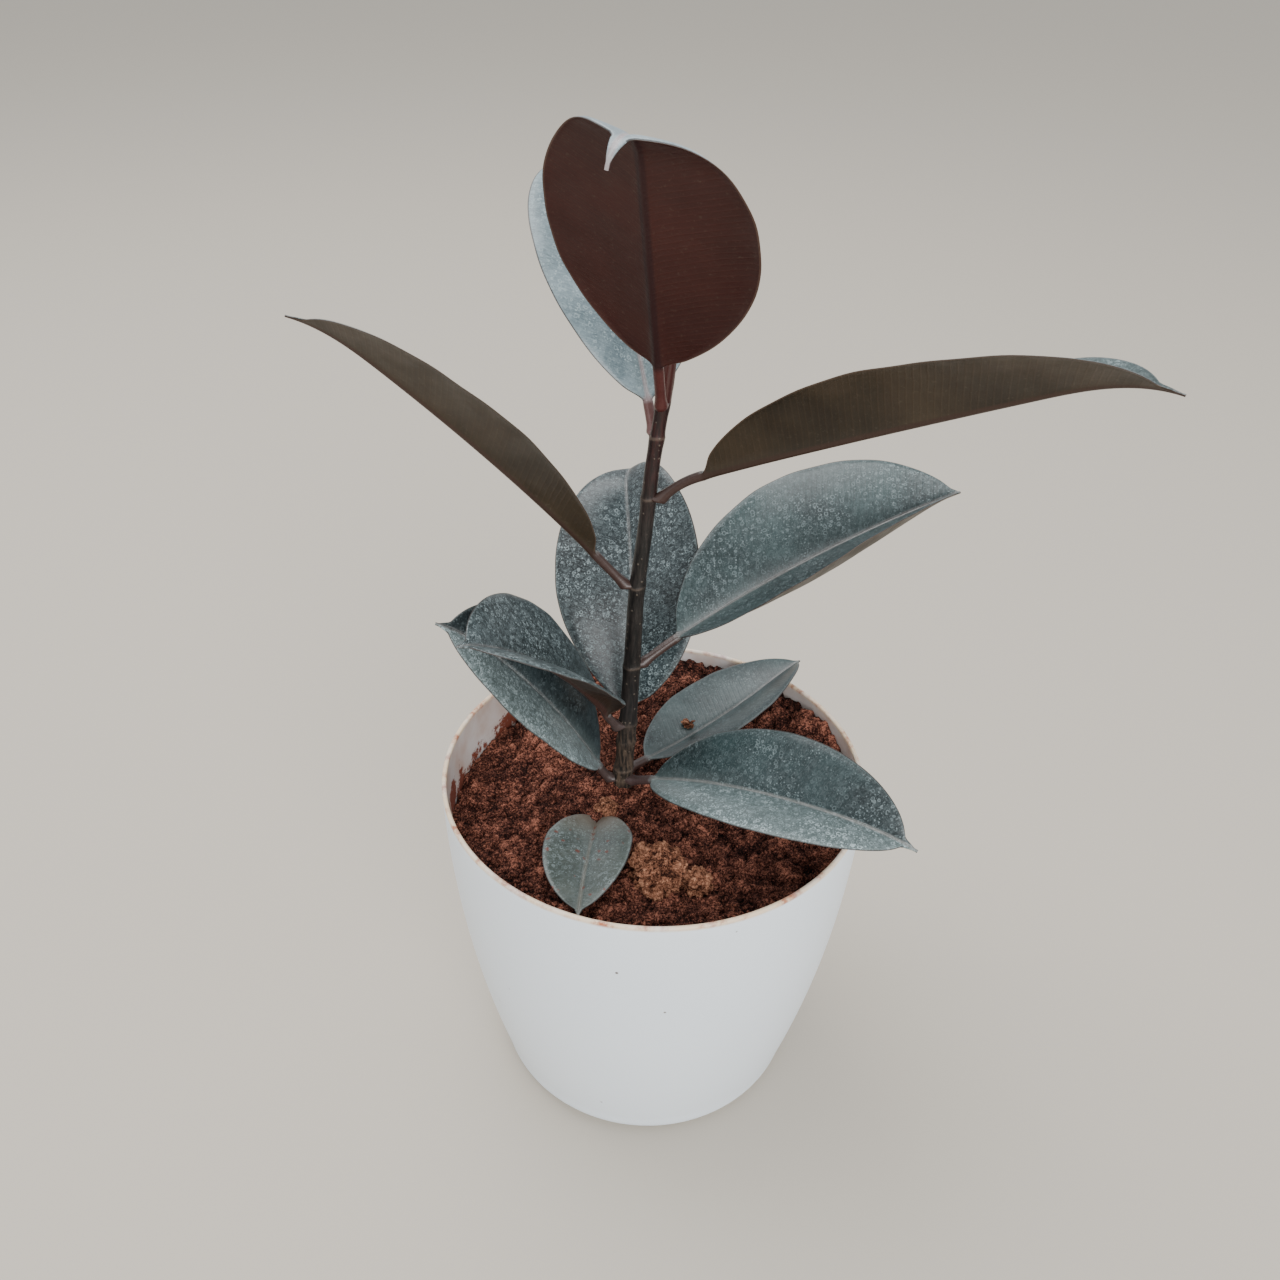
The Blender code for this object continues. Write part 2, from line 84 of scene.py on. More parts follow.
def turnOutwards(mesh):
    work = bmesh.new()
    work.from_mesh(mesh)
    bmesh.ops.recalc_face_normals(work, faces=work.faces)
    work.to_mesh(mesh)
    work.free()


def setAttribute(mesh, name, values):
    mesh.attributes.new(name, "FLOAT", "POINT").data.foreach_set("value", values)


def tubeFaces(rows, count):              # quads between rings of equally many points, capped at both ends
    faces = [tuple(range(count)), tuple(range((rows - 1) * count, rows * count))]
    for row in range(rows - 1):
        for i in range(count):
            a, b = row * count + i, row * count + (i + 1) % count
            faces.append((a, b, b + count, a + count))
    return faces


class Finish:
    # one material's node tree, with a short call for each kind of node used below
    def __init__(self, name, roughness, specular=0.5):
        self.material = bpy.data.materials.new(name)
        self.material.use_nodes = True
        self.tree = self.material.node_tree
        self.skin = self.tree.nodes["Principled BSDF"]
        self.skin.inputs["Roughness"].default_value = roughness
        self.skin.inputs["Specular IOR Level"].default_value = specular
        self.place = self.node("ShaderNodeTexCoord").outputs["Object"]

    def node(self, kind, inputs=None, **settings):
        made = self.tree.nodes.new(kind)
        for key, value in settings.items():
            setattr(made, key, value)
        for key, value in (inputs or {}).items():
            if isinstance(value, bpy.types.NodeSocket):
                self.tree.links.new(value, made.inputs[key])
            else:
                made.inputs[key].default_value = value
        return made

    def noise(self, scale, detail=3.0, roughness=0.5, at=None):
        inputs = {"Vector": at or self.place, "Scale": scale, "Detail": detail, "Roughness": roughness}
        return self.node("ShaderNodeTexNoise", inputs).outputs["Fac"]

    def cells(self, scale, at=None):     # distance from the nearest cell's centre, and its random number
        made = self.node("ShaderNodeTexVoronoi", {"Vector": at or self.place, "Scale": scale})
        pick = self.node("ShaderNodeSeparateColor", {"Color": made.outputs["Color"]}).outputs["Red"]
        return made.outputs["Distance"], pick

    def read(self, name):
        return self.node("ShaderNodeAttribute", attribute_name=name).outputs["Fac"]

    def calc(self, operation, a, b=0.0):
        return self.node("ShaderNodeMath", {0: a, 1: b}, operation=operation).outputs[0]

    def times(self, a, b):
        return self.calc("MULTIPLY", a, b)

    def plus(self, a, b):
        return self.calc("ADD", a, b)

    def centred(self, value):            # noise from 0 to 1, moved to spread both ways from 0
        return self.calc("SUBTRACT", value, 0.5)

    def ringAt(self, distance, radius, outer, inner):    # 1 on a ring of a cell, 0 away from it
        return self.fade(self.calc("ABSOLUTE", self.calc("SUBTRACT", distance, radius)), outer, inner)

    def fade(self, value, low, high, start=0.0, end=1.0):
        return self.node("ShaderNodeMapRange", {"Value": value, "From Min": low, "From Max": high,
                                                "To Min": start, "To Max": end},
                         interpolation_type="SMOOTHSTEP").outputs[0]

    def mix(self, share, a, b):
        return self.node("ShaderNodeMix", {0: share, 6: a, 7: b}, data_type="RGBA").outputs[2]

    def ramp(self, value, stops):
        made = self.node("ShaderNodeValToRGB", {"Fac": value})
        steps = made.color_ramp.elements
        while len(steps) < len(stops):
            steps.new(0.5)
        for step, (spot, colour) in zip(steps, stops):
            step.position = spot
            step.color = colour
        return made.outputs["Color"]

    def height(self):
        return self.node("ShaderNodeSeparateXYZ", {0: self.place}).outputs[2]

    def vector(self, operation, inputs):
        return self.node("ShaderNodeVectorMath", inputs, operation=operation).outputs[0]

    def warp(self, scale, reach):        # the place, pushed about so that a pattern loses its regular look
        inputs = {"Vector": self.place, "Scale": scale, "Detail": 2.0}
        drift = self.node("ShaderNodeTexNoise", inputs).outputs["Color"]
        drift = self.vector("SUBTRACT", {0: drift, 1: (0.5, 0.5, 0.5)})
        drift = self.vector("SCALE", {0: drift, "Scale": reach})
        return self.vector("ADD", {0: self.place, 1: drift})

    def stretch(self, x, y, z):
        return self.node("ShaderNodeMapping", {"Vector": self.place, "Scale": (x, y, z)}).outputs[0]

    def colour(self, value):
        self.tree.links.new(value, self.skin.inputs["Base Color"])

    def gloss(self, value):
        self.tree.links.new(value, self.skin.inputs["Roughness"])

    def bump(self, height, strength, depth):
        made = self.node("ShaderNodeBump", {"Height": height, "Strength": strength, "Distance": depth})
        self.tree.links.new(made.outputs[0], self.skin.inputs["Normal"])


cameraSet = {"place": (-0.0080, -0.4323, 0.559), "downDegrees": 35.23, "rollDegrees": 1.43, "lens": 33.75}

eye = bpy.data.objects.new("camera", bpy.data.cameras.new("camera"))
bpy.context.scene.collection.objects.link(eye)
eye.data.lens = cameraSet["lens"]
eye.data.sensor_width = 36.0
eye.data.clip_start = 0.01
tilt = Matrix.Rotation(math.radians(90 - cameraSet["downDegrees"]), 4, "X")
roll = Matrix.Rotation(math.radians(cameraSet["rollDegrees"]), 4, "Z")
eye.matrix_world = Matrix.Translation(cameraSet["place"]) @ tilt @ roll
bpy.context.scene.camera = eye

studio = {"skyStrength": 0.95, "skyTint": (0.93, 0.97, 1.0), "floorTint": (196, 187, 174), "floorReach": 6.0}


def addLight(name, size, power, place, aim):
    data = bpy.data.lights.new(name, "AREA")
    data.size = size
    data.energy = power
    lamp = bpy.data.objects.new(name, data)
    bpy.context.scene.collection.objects.link(lamp)
    lamp.location = place
    lamp.rotation_euler = (Vector(aim) - Vector(place)).to_track_quat("-Z", "Y").to_euler()


sky = bpy.data.worlds.new("studio")
sky.use_nodes = True
sky.node_tree.nodes["Background"].inputs["Color"].default_value = (*studio["skyTint"], 1.0)
sky.node_tree.nodes["Background"].inputs["Strength"].default_value = studio["skyStrength"]
bpy.context.scene.world = sky
addLight("overhead", 1.6, 38.0, (-0.5, 0.5, 2.1), (0.0, 0.0, 0.2))
addLight("front_fill", 1.4, 42.0, (0.6, -2.0, 1.1), (0.0, 0.0, 0.12))

floorFinish = Finish("floor_plain", 0.9, 0.2)
floorFinish.skin.inputs["Base Color"].default_value = tint(*studio["floorTint"])
floorMesh = bpy.data.meshes.new("floor")
reach = studio["floorReach"]
floorMesh.from_pydata([(-reach, -reach, 0), (reach, -reach, 0), (reach, reach, 0), (-reach, reach, 0)], [],
                      [(0, 1, 2, 3)])
floorMesh.materials.append(floorFinish.material)
floor = bpy.data.objects.new("floor", floorMesh)
bpy.context.scene.collection.objects.link(floor)
print("camera, light and floor ready")


# sideLean: degrees off upright where the corners meet the side. lipLean: the same where the lip does.
potForm = {"baseRadius": 0.0749, "bulge": 0.0238, "wall": 0.0022, "floor": 0.0030, "footFillet": 0.011,
           "footRing": 0.007, "footRecess": 0.0012, "centrePad": 0.022, "sides": 200, "sideSteps": 26,
           "lipSteps": 8, "floorSteps": 8, "footSteps": 10, "sideLean": 8, "lipLean": 15, "sharpDegrees": 38}
potLook = {"plastic": ((231, 240, 249), (237, 245, 252)), "speck": (96, 84, 76), "gloss": 0.34,
           "soiledGloss": 0.9, "inner": ((216, 210, 206), (200, 176, 162)),
           "smear": ((92, 38, 26), (142, 74, 52)), "lip": ((238, 214, 184), (178, 104, 72))}


def potRadius(z):                        # outside radius of the side at a height
    down = 1 - z / potHeight
    return rimRadius + (potForm["baseRadius"] - rimRadius) * down + potForm["bulge"] * down * (1 - down)


def potInnerRadius(z):
    return potRadius(z) - potForm["wall"]


def evenSteps(start, end, steps):
    return [start + (end - start) * i / steps for i in range(steps + 1)]


def arc(centre, radius, start, end, steps):
    angles = [math.radians(degrees) for degrees in evenSteps(start, end, steps)]
    return [(centre[0] + radius * math.cos(a), centre[1] + radius * math.sin(a)) for a in angles]


def grey(value):
    return (value,) * 3 + (1.0,)


def potFinish():
    made = Finish("pot_plastic", potLook["gloss"], 0.45)
    z = made.height()
    inside = made.read("inside")
    plastic = made.mix(made.noise(18, 3), *tints(potLook["plastic"]))
    near, pick = made.cells(140)
    dots = made.times(made.fade(near, 0.13, 0.06), made.fade(pick, 0.955, 0.965))
    plastic = made.mix(dots, plastic, tint(*potLook["speck"]))
    # soil smeared up the inner wall, thickest near the soil, and rubbed along the lip
    smear = made.noise(38, 6, 0.65)
    fine = made.noise(260, 4, 0.7)
    nearSoil = made.fade(z, potHeight - 0.003, potHeight - 0.022, 0.30, 0.56)
    patchy = made.plus(smear, made.times(made.centred(fine), 0.35))
    smeared = made.fade(patchy, made.calc("SUBTRACT", 1.04, nearSoil), made.calc("SUBTRACT", 1.10, nearSoil))
    dusty = made.mix(made.fade(made.noise(60, 4), 0.35, 0.75), *tints(potLook["inner"]))
    inner = made.mix(smeared, dusty, made.mix(fine, *tints(potLook["smear"])))
    plastic = made.mix(inside, plastic, inner)
    lip = made.fade(z, potHeight - 0.0026, potHeight - 0.0008)
    lipStain = made.mix(made.fade(made.noise(95, 5, 0.7), 0.46, 0.66), *tints(potLook["lip"]))
    lipShows = made.times(lip, made.fade(made.noise(45, 4), 0.30, 0.55, 0.6, 1.0))
    made.colour(made.mix(lipShows, plastic, lipStain))
    made.gloss(made.mix(made.times(inside, smeared), grey(potLook["gloss"]), grey(potLook["soiledGloss"])))
    made.bump(made.noise(420, 2), 0.03, 0.0004)
    return made.material


def makePot():
    lip = potForm["wall"] / 2
    fillet = potForm["footFillet"]
    floorFillet = fillet - potForm["wall"]
    sideStart = potHeight - lip
    foot = potRadius(fillet)
    ring = foot - fillet - potForm["footRing"]
    recess = potForm["footRecess"]
    pad = potForm["centrePad"]
    low = potForm["floor"] + floorFillet
    lean, lipLean = potForm["sideLean"], potForm["lipLean"]
    inner = arc((foot - potForm["wall"] - floorFillet, low), floorFillet, -90, -lean, potForm["floorSteps"])
    inner += [(potInnerRadius(z), z) for z in evenSteps(low, sideStart, potForm["sideSteps"])[1:]]
    outer = arc((potRadius(sideStart) - lip, sideStart), lip, 180 - lipLean, lipLean, potForm["lipSteps"])
    outer += [(potRadius(z), z) for z in evenSteps(sideStart, fillet, potForm["sideSteps"])]
    outer += arc((foot - fillet, fillet), fillet, -lean, -90, potForm["footSteps"])
    outer += [(ring, 0.0), (ring - recess, recess), (pad + recess, recess), (pad, 0.0)]
    profile = inner + outer
    sides = potForm["sides"]
    points = [(r * math.cos(a), r * math.sin(a), z) for r, z in profile
              for a in (2 * math.pi * i / sides for i in range(sides))]
    pot = newPiece("pot_shell", points, tubeFaces(len(profile), sides), [potFinish()], ["pot"])
    turnOutwards(pot.data)
    flags = [1.0] * (len(inner) * sides) + [0.0] * (len(outer) * sides)
    setAttribute(pot.data, "inside", flags)
    pot.data.set_sharp_from_angle(angle=math.radians(potForm["sharpDegrees"]))


makePot()
print("pot made")


# line: (height, place to the right) along the stem. woody: heights over which the bark smooths out.
# firstSwell: how many of the lowest scars don't swell the stem.
stemForm = {"line": ((0.120, -0.0150), (0.165, -0.0150), (0.206, -0.0126), (0.241, -0.0112), (0.275, -0.0102),
                     (0.307, -0.0070), (0.337, -0.0048), (0.3655, -0.0012)),
            "depth": 0.004, "baseRadius": 0.0046, "topRadius": 0.0028, "top": 0.3655, "buried": 0.045,
            "soilLevel": 0.1655, "sides": 44, "ringStep": 0.0006, "woody": (0.192, 0.222),
            "cornerSpread": 0.006, "scarWidth": 0.00055, "scarRise": 0.00016, "swellBelow": 0.0012,
            "swellWidth": 0.0028, "swellShare": 0.10, "firstSwell": 2, "barkRibs": 0.00030,
            "fineRibs": 0.00008, "taper": 0.8}
stemLook = {"bark": ((18, 15, 12), (90, 74, 60)), "green": ((13, 11, 10), (42, 36, 33)),
            "red": ((22, 6, 6), (50, 18, 16)), "pore": (136, 122, 106), "scar": (130, 112, 98),
            "greenFrom": (0.186, 0.214), "redFrom": (0.300, 0.352), "glossFrom": (0.19, 0.26)}
scarHeights = (0.1595, 0.1655, 0.1705, 0.1765, 0.1935, 0.2045, 0.2370, 0.2800, 0.3230, 0.3500, 0.3640)


def stemOffset(z):                       # how far right of the pot's axis the stem is
    for (z0, x0), (z1, x1) in zip(stemForm["line"], stemForm["line"][1:]):
        if z <= z1:
            break
    return x0 + (x1 - x0) * (z - z0) / (z1 - z0)


def stemPoint(z):
    spread = stemForm["cornerSpread"]    # rounds the corners of the line
    x = sum(stemOffset(z + spread * k) for k in (-1, -0.5, 0, 0.5, 1)) / 5
    return Vector((x, stemForm["depth"], z))


def stemRadius(z):
    share = (z - stemForm["soilLevel"]) / (stemForm["top"] - stemForm["soilLevel"])
    share = min(max(share, 0.0), 1.0) ** stemForm["taper"]
    return stemForm["baseRadius"] + (stemForm["topRadius"] - stemForm["baseRadius"]) * share


def stemFinish():
    made = Finish("stem_bark", 0.55, 0.4)
    z = made.height()
    grain = made.noise(1.0, 5, 0.65, at=made.stretch(900, 900, 130))
    mottle = made.noise(160, 4, 0.6)
    ragged = made.plus(z, made.times(made.centred(mottle), 0.02))
    bark = made.mix(made.fade(grain, 0.35, 0.68), *tints(stemLook["bark"]))
    green = made.mix(made.fade(grain, 0.35, 0.70), *tints(stemLook["green"]))
    red = made.mix(made.fade(grain, 0.35, 0.70), *tints(stemLook["red"]))
    tone = made.mix(made.fade(ragged, *stemLook["greenFrom"]), bark, green)
    tone = made.mix(made.fade(ragged, *stemLook["redFrom"]), tone, red)
    near, pick = made.cells(520)
    pores = made.times(made.fade(near, 0.30, 0.16), made.fade(pick, 0.72, 0.78))
    tone = made.mix(made.times(pores, 0.35), tone, tint(*stemLook["pore"]))
    scarShows = made.fade(made.noise(120, 2), 0.35, 0.65, 0.05, 0.34)
    made.colour(made.mix(made.times(made.read("scar"), scarShows), tone, tint(*stemLook["scar"])))
    made.gloss(made.fade(ragged, *stemLook["glossFrom"], 0.78, 0.42))
    made.bump(made.plus(grain, made.times(pores, 0.6)), 0.55, 0.0005)
    return made.material


def makeStem():
    low = stemForm["soilLevel"] - stemForm["buried"]
    rows = int((stemForm["top"] - low) / stemForm["ringStep"])
    sides = stemForm["sides"]
    points = []
    scars = []
    for row in range(rows + 1):
        z = low + (stemForm["top"] - low) * row / rows
        centre = stemPoint(z)
        swollen = scarHeights[stemForm["firstSwell"]:]
        swell = sum(bell(z - h + stemForm["swellBelow"], stemForm["swellWidth"]) for h in swollen)
        woody = 1 - smoothStep(z, *stemForm["woody"])
        for i in range(sides):
            angle = 2 * math.pi * i / sides
            wander = 0.0007 * noise.noise(Vector((math.cos(angle), math.sin(angle), z * 30)))
            scar = max(bell(z + wander - h, stemForm["scarWidth"]) for h in scarHeights)
            ribs = noise.noise(Vector((math.cos(angle) * 3.1, math.sin(angle) * 3.1, z * 90)))
            radius = stemRadius(z) * (1 + stemForm["swellShare"] * min(swell, 1.0))
            radius += stemForm["scarRise"] * scar
            radius += (stemForm["barkRibs"] * woody + stemForm["fineRibs"]) * ribs
            points.append(centre + Vector((math.cos(angle), math.sin(angle), 0)) * radius)
            scars.append(scar)
    stem = newPiece("stem_wood", points, tubeFaces(rows + 1, sides), [stemFinish()], ["stem"])
    turnOutwards(stem.data)
    setAttribute(stem.data, "scar", scars)


makeStem()

budForm = {"length": 0.040, "radius": 0.0026, "lean": 6.0, "rings": 60, "sides": 28, "sunk": 0.0012,
           "skin": 0.0002, "lap": 0.00035, "bend": 0.0012, "winding": 1.1, "pointed": 0.8}


def budFinish():
    made = Finish("bud_sheath", 0.36, 0.5)
    z = made.height()
    streak = made.noise(1.0, 4, 0.6, at=made.stretch(1500, 1500, 60))
    base = made.mix(streak, tint(44, 14, 12), tint(72, 26, 21))
    nearTip = made.fade(z, stemForm["top"] + 0.012, stemForm["top"] + 0.034)
    made.colour(made.mix(nearTip, base, tint(84, 32, 24)))
    made.bump(streak, 0.25, 0.0003)
    return made.material


def makeBud():
    # a pointed sheath whose overlapping edge winds a little way round it
    start = stemPoint(stemForm["top"]) - Vector((0, 0, budForm["sunk"]))
    lean = Matrix.Rotation(math.radians(budForm["lean"]), 3, "Y")
    points = []
    for row in range(budForm["rings"] + 1):
        share = row / budForm["rings"]
        body = max(math.sin((1 - share) * math.pi / 2), 0.0) ** budForm["pointed"]
        for i in range(budForm["sides"]):
            angle = 2 * math.pi * i / budForm["sides"]
            edge = (angle + budForm["winding"] * share) % (2 * math.pi)
            lap = budForm["lap"] * body * (1 - smoothStep(edge, 0.0, 2.4)) * smoothStep(edge, 0.0, 0.25)
            radius = (budForm["radius"] + budForm["skin"]) * body + lap
            bend = budForm["bend"] * share * share
            points.append(start + lean @ Vector((radius * math.cos(angle) + bend, radius * math.sin(angle),
                                                 (budForm["length"] + budForm["sunk"]) * share)))
    faces = tubeFaces(budForm["rings"] + 1, budForm["sides"])
    bud = newPiece("bud", points, faces, [budFinish()], ["terminal_bud_sheath"])
    turnOutwards(bud.data)


makeBud()
print("stem and bud made")


leafForm = {"bladeStations": 84, "petioleStations": 14, "halfSpans": 15, "thickness": 0.0008, "keel": 0.0013,
            "tipHalfWidth": 0.0006, "petioleFade": 0.05, "groove": 0.00035, "grooveWidth": 0.0015,
            "rimRoll": 0.0007, "gap": 0.0003, "tipShare": 0.16, "basePowers": (1.9, 0.75),
            "tipPowers": (2.3, 0.66), "tipBlend": 4, "nearBase": (0.02, 0.30), "keelWidth": (0.0009, 0.0013),
            "rimThin": 0.6, "stalkFlare": (0.16, 0.30), "stalkHollow": 0.16, "rootPulls": (0.7, 0.35),
            "reachIn": 0.004}
leafUsual = {"stalkRadius": 0.0021, "curlStart": 0.75, "widest": 0.50, "dripTip": 0.045, "bow": (0.04, 0.04),
             "flare": (0, 0), "lip": (0, 0), "wave": 0.007, "dustAndLitHalf": (1.0, 1.0)}

# height: where the petiole meets the stem. heading: compass angle of the petiole, 0 to the right.
# rise: its slope. petioleBend and roll act over the petiole; arch, sweep and twist over the blade;
# tipCurl over its last part. fold: slope of the left and right half. bow: how far each half bulges
# up, below 0 for a hollow one. flare and lip: more fold and bow near the base. wave: margin's ripple.
# pale: how dusty the left and right half are, and how far a half that faces the sky is painted paler, as
# painted light.
leaves = {
    "leaf_top_front": dict(height=0.365, heading=-100, rise=68, petiole=0.022, petioleBend=5, length=0.125,
                           width=0.078, arch=1, tipCurl=150, sweep=1, roll=-11, twist=-7, fold=(5, 5),
                           curlStart=0.714, widest=0.49, dripTip=0.092, bow=(0.03, 0.03), look="young"),
    "leaf_top_back": dict(height=0.350, heading=110, rise=57, petiole=0.012, petioleBend=3, length=0.130,
                          width=0.071, arch=39, tipCurl=10, sweep=-2, roll=-1, twist=-2, fold=(15, 15),
                          look="skySheen"),
    "leaf_left_long": dict(height=0.280, heading=182, rise=50, petiole=0.020, petioleBend=1, length=0.155,
                           width=0.062, arch=8, tipCurl=22, sweep=-9, roll=39, twist=-17, fold=(23, 23),
                           look="plain"),
    "leaf_right_long": dict(height=0.323, heading=-17, rise=53, petiole=0.023, petioleBend=27, length=0.180,
                            width=0.068, arch=2, tipCurl=32, sweep=4, roll=-48, twist=28, fold=(29, 29),
                            look="plain"),
    "leaf_right_middle": dict(height=0.237, heading=20, rise=37, petiole=0.019, petioleBend=7, length=0.142,
                              width=0.083, arch=8, tipCurl=1, sweep=-12, roll=10, twist=-18, fold=(32, 34),
                              dripTip=0.02, bow=(0.05, -0.13), dustAndLitHalf=(0.70, 0.58), look="plain"),
    "leaf_rear": dict(height=0.193, heading=84, rise=62, petiole=0.012, petioleBend=-1, length=0.125,
                      width=0.073, arch=26, tipCurl=62, sweep=17, roll=-1, twist=-16, fold=(16, 16),
                      dripTip=0.02, dustAndLitHalf=(0.9, 0.85), look="dark"),
    "leaf_left_upper": dict(height=0.204, heading=218, rise=57, petiole=0.012, petioleBend=-3, length=0.107,
                            width=0.065, arch=28, tipCurl=13, sweep=12, roll=-11, twist=-2, fold=(27, 21),
                            flare=(16, 0), lip=(0.24, 0), dustAndLitHalf=(1.25, 1.1), look="dark"),
    "leaf_left_lower": dict(height=0.170, heading=191, rise=49, petiole=0.010, petioleBend=-17, length=0.121,
                            width=0.063, arch=17, tipCurl=23, sweep=13, roll=-16, twist=-11, fold=(19, 19),
                            dustAndLitHalf=(3.0, 0.3), look="dark"),
    "leaf_right_rear": dict(height=0.173, heading=41, rise=2, petiole=0.009, petioleBend=5, length=0.104,
                            width=0.057, arch=-24, tipCurl=12, sweep=-9, roll=-7, twist=-15, fold=(18, 18),
                            dripTip=0.02, dustAndLitHalf=(0.40, 0.45), look="plain"),
    "leaf_right_front": dict(height=0.171, heading=-41, rise=32, petiole=0.015, petioleBend=-1, length=0.138,
                             width=0.057, arch=37, tipCurl=19, sweep=-3, roll=21, twist=4, fold=(29, 29),
                             dustAndLitHalf=(0.58, 2.1), look="dusty"),
    "leaf_buried_front": dict(start=(-0.0254, -0.0175, 0.1632), heading=-97, rise=16, petiole=0.002,
                              petioleBend=0, length=0.0648, width=0.0421, arch=24, tipCurl=8, sweep=2, roll=2,
                              twist=4, fold=(20, 20), flare=(14, 14), widest=0.42, look="muddy"),
}


def bladeOutline(leaf, share):           # half width as a share of the largest, from base 0 to tip 1
    shoulder = 1 - leaf["dripTip"]
    widest = leaf["widest"]
    if share < widest:
        inward, outward = leafForm["basePowers"]
        return (1 - (1 - share / widest) ** inward) ** outward
    past = min((share - widest) / (shoulder - widest), 1.0)
    inward, outward = leafForm["tipPowers"]
    body = (1 - past ** inward) ** outward
    tip = leafForm["tipShare"] * min((1 - share) / (2 * leaf["dripTip"]), 1.0)
    blend = leafForm["tipBlend"]
    return (body ** blend + tip ** blend) ** (1 / blend)


def turn(frameMatrix, axis, degrees):
    return frameMatrix @ Matrix.Rotation(math.radians(degrees), 3, axis)


def leafFrames(leaf, start):
    # (point, frame, share) down the leaf; share runs -1 to 0 on the petiole and 0 to 1 on the blade.
    # A frame's columns are the way the leaf runs, its left side and its upper side.
    heading, rise = math.radians(leaf["heading"]), math.radians(leaf["rise"])
    ahead = Vector((math.cos(heading) * math.cos(rise), math.sin(heading) * math.cos(rise), math.sin(rise)))
    left = Vector((-math.sin(heading), math.cos(heading), 0.0))
    axes = Matrix((ahead, left, ahead.cross(left))).transposed()
    point = start.copy()
    found = [(point.copy(), axes.copy(), -1.0)]
    count = leafForm["petioleStations"]
    for i in range(count):
        axes = turn(axes, "Y", leaf["petioleBend"] / count)
        axes = turn(axes, "X", leaf["roll"] / count)
        point += axes.col[0] * leaf["petiole"] / count
        found.append((point.copy(), axes.copy(), (i + 1) / count - 1))
    count = leafForm["bladeStations"]
    curlStart = leaf["curlStart"]
    shares = [(1 - math.cos(math.pi * i / count)) / 2 for i in range(count + 1)]
    for first, last in zip(shares, shares[1:]):
        step = last - first
        past = max((first + last) / 2 - curlStart, 0.0)
        curl = leaf["tipCurl"] * past * 2 / (1 - curlStart) ** 2
        axes = turn(axes, "Y", (leaf["arch"] + curl) * step)
        axes = turn(axes, "Z", leaf["sweep"] * step)
        axes = turn(axes, "X", leaf["twist"] * step)
        point += axes.col[0] * leaf["length"] * step
        found.append((point.copy(), axes.copy(), last))
    return found


def bladeCurve(leaf, share, half, phase):
    # the blade's middle surface across one station, from the left margin to the right:
    # (across, up, span) with each half sloped, bowed, rippled at the margin and rolled at the rim
    n = leafForm["halfSpans"]
    nearBase = 1 - smoothStep(share, *leafForm["nearBase"])
    found = []
    for i in range(-n, n + 1):
        t = (1 - math.cos(math.pi * abs(i) / n)) / 2
        side = 1 if i < 0 else -1
        which = 0 if i < 0 else 1
        slope = math.radians(leaf["fold"][which] + leaf["flare"][which] * nearBase)
        across, up = half * t * math.cos(slope), half * t * math.sin(slope)
        bow = leaf["bow"][which] * 4 * share * (1 - share) + leaf["lip"][which] * nearBase
        bow *= half * 4 * t * (1 - t)
        across -= bow * math.sin(slope)
        up += bow * math.cos(slope)
        ripple = math.sin(2 * math.pi * (share * 3.1 + phase + 0.23 * side))
        ripple += 0.5 * math.sin(2 * math.pi * (share * 7.3 + 2.3 * phase - 0.31 * side))
        up += half * leaf["wave"] * t ** 3 * ripple * smoothStep(1 - share, 0.0, 0.2)
        up -= leafForm["rimRoll"] * smoothStep(t, 0.88, 1.0) ** 2 * min(half / 0.02, 1.0)
        found.append((side * across, up, side * t))
    return found


def leafRing(leaf, axes, share, phase):
    # one closed ring: left rim, upper side, right rim, under side; the round petiole flattens into it
    shown = max(share, 0.0)
    half = max(leaf["width"] / 2 * bladeOutline(leaf, shown), leafForm["tipHalfWidth"])
    line = bladeCurve(leaf, shown, half, phase)
    thick = leafForm["thickness"] / 2
    keel = leafForm["keel"] * (1 - shown) ** 0.7
    keelWidth = leafForm["keelWidth"][0] + leafForm["keelWidth"][1] * (1 - shown)
    upper, under = [], []
    for k, (across, up, span) in enumerate(line):
        before, after = line[max(k - 1, 0)], line[min(k + 1, len(line) - 1)]
        run = Vector((after[0] - before[0], after[1] - before[1]))
        away = Vector((run.y, -run.x)).normalized()
        fromRib = half * abs(span)
        edge = 1 - leafForm["rimThin"] * abs(span) ** 6
        groove = leafForm["groove"] * bell(fromRib, leafForm["grooveWidth"]) * min(half / 0.01, 1.0)
        spot = Vector((across, up))
        below = thick * edge + keel * bell(fromRib, keelWidth)
        upper.append((spot + away * (thick * edge - groove), fromRib, half - fromRib, span))
        under.append((spot - away * below, fromRib, half - fromRib, span))
    rims = []
    for k, side in ((0, 1), (-1, -1)):
        middle = (upper[k][0] + under[k][0]) / 2
        rims.append((middle + Vector((side * thick * 0.35, 0)), half, 0.0, side))
    flat = [rims[0]] + upper + [rims[1]] + under[::-1]
    flareWidth, flareShare = leafForm["stalkFlare"]
    base = bell(share + 1, flareWidth) * flareShare if share < 0 else 0.0
    stalk = leaf["stalkRadius"] * (1 + base)
    blend = min(shown / leafForm["petioleFade"], 1.0)
    blend = blend * (2 - blend)
    ring = []
    for i, (corner, fromRib, fromRim, span) in enumerate(flat):
        angle = 2 * math.pi * i / len(flat)
        hollow = leafForm["stalkHollow"] * bell(angle - math.pi / 2, 0.5) * smoothStep(share, -1.0, -0.4)
        circle = Vector((math.cos(angle), math.sin(angle) * (1 - hollow))) * stalk
        mixed = circle.lerp(corner, blend)
        ring.append((axes.col[1] * mixed.x + axes.col[2] * mixed.y, fromRib * blend, fromRim, span))
    return ring


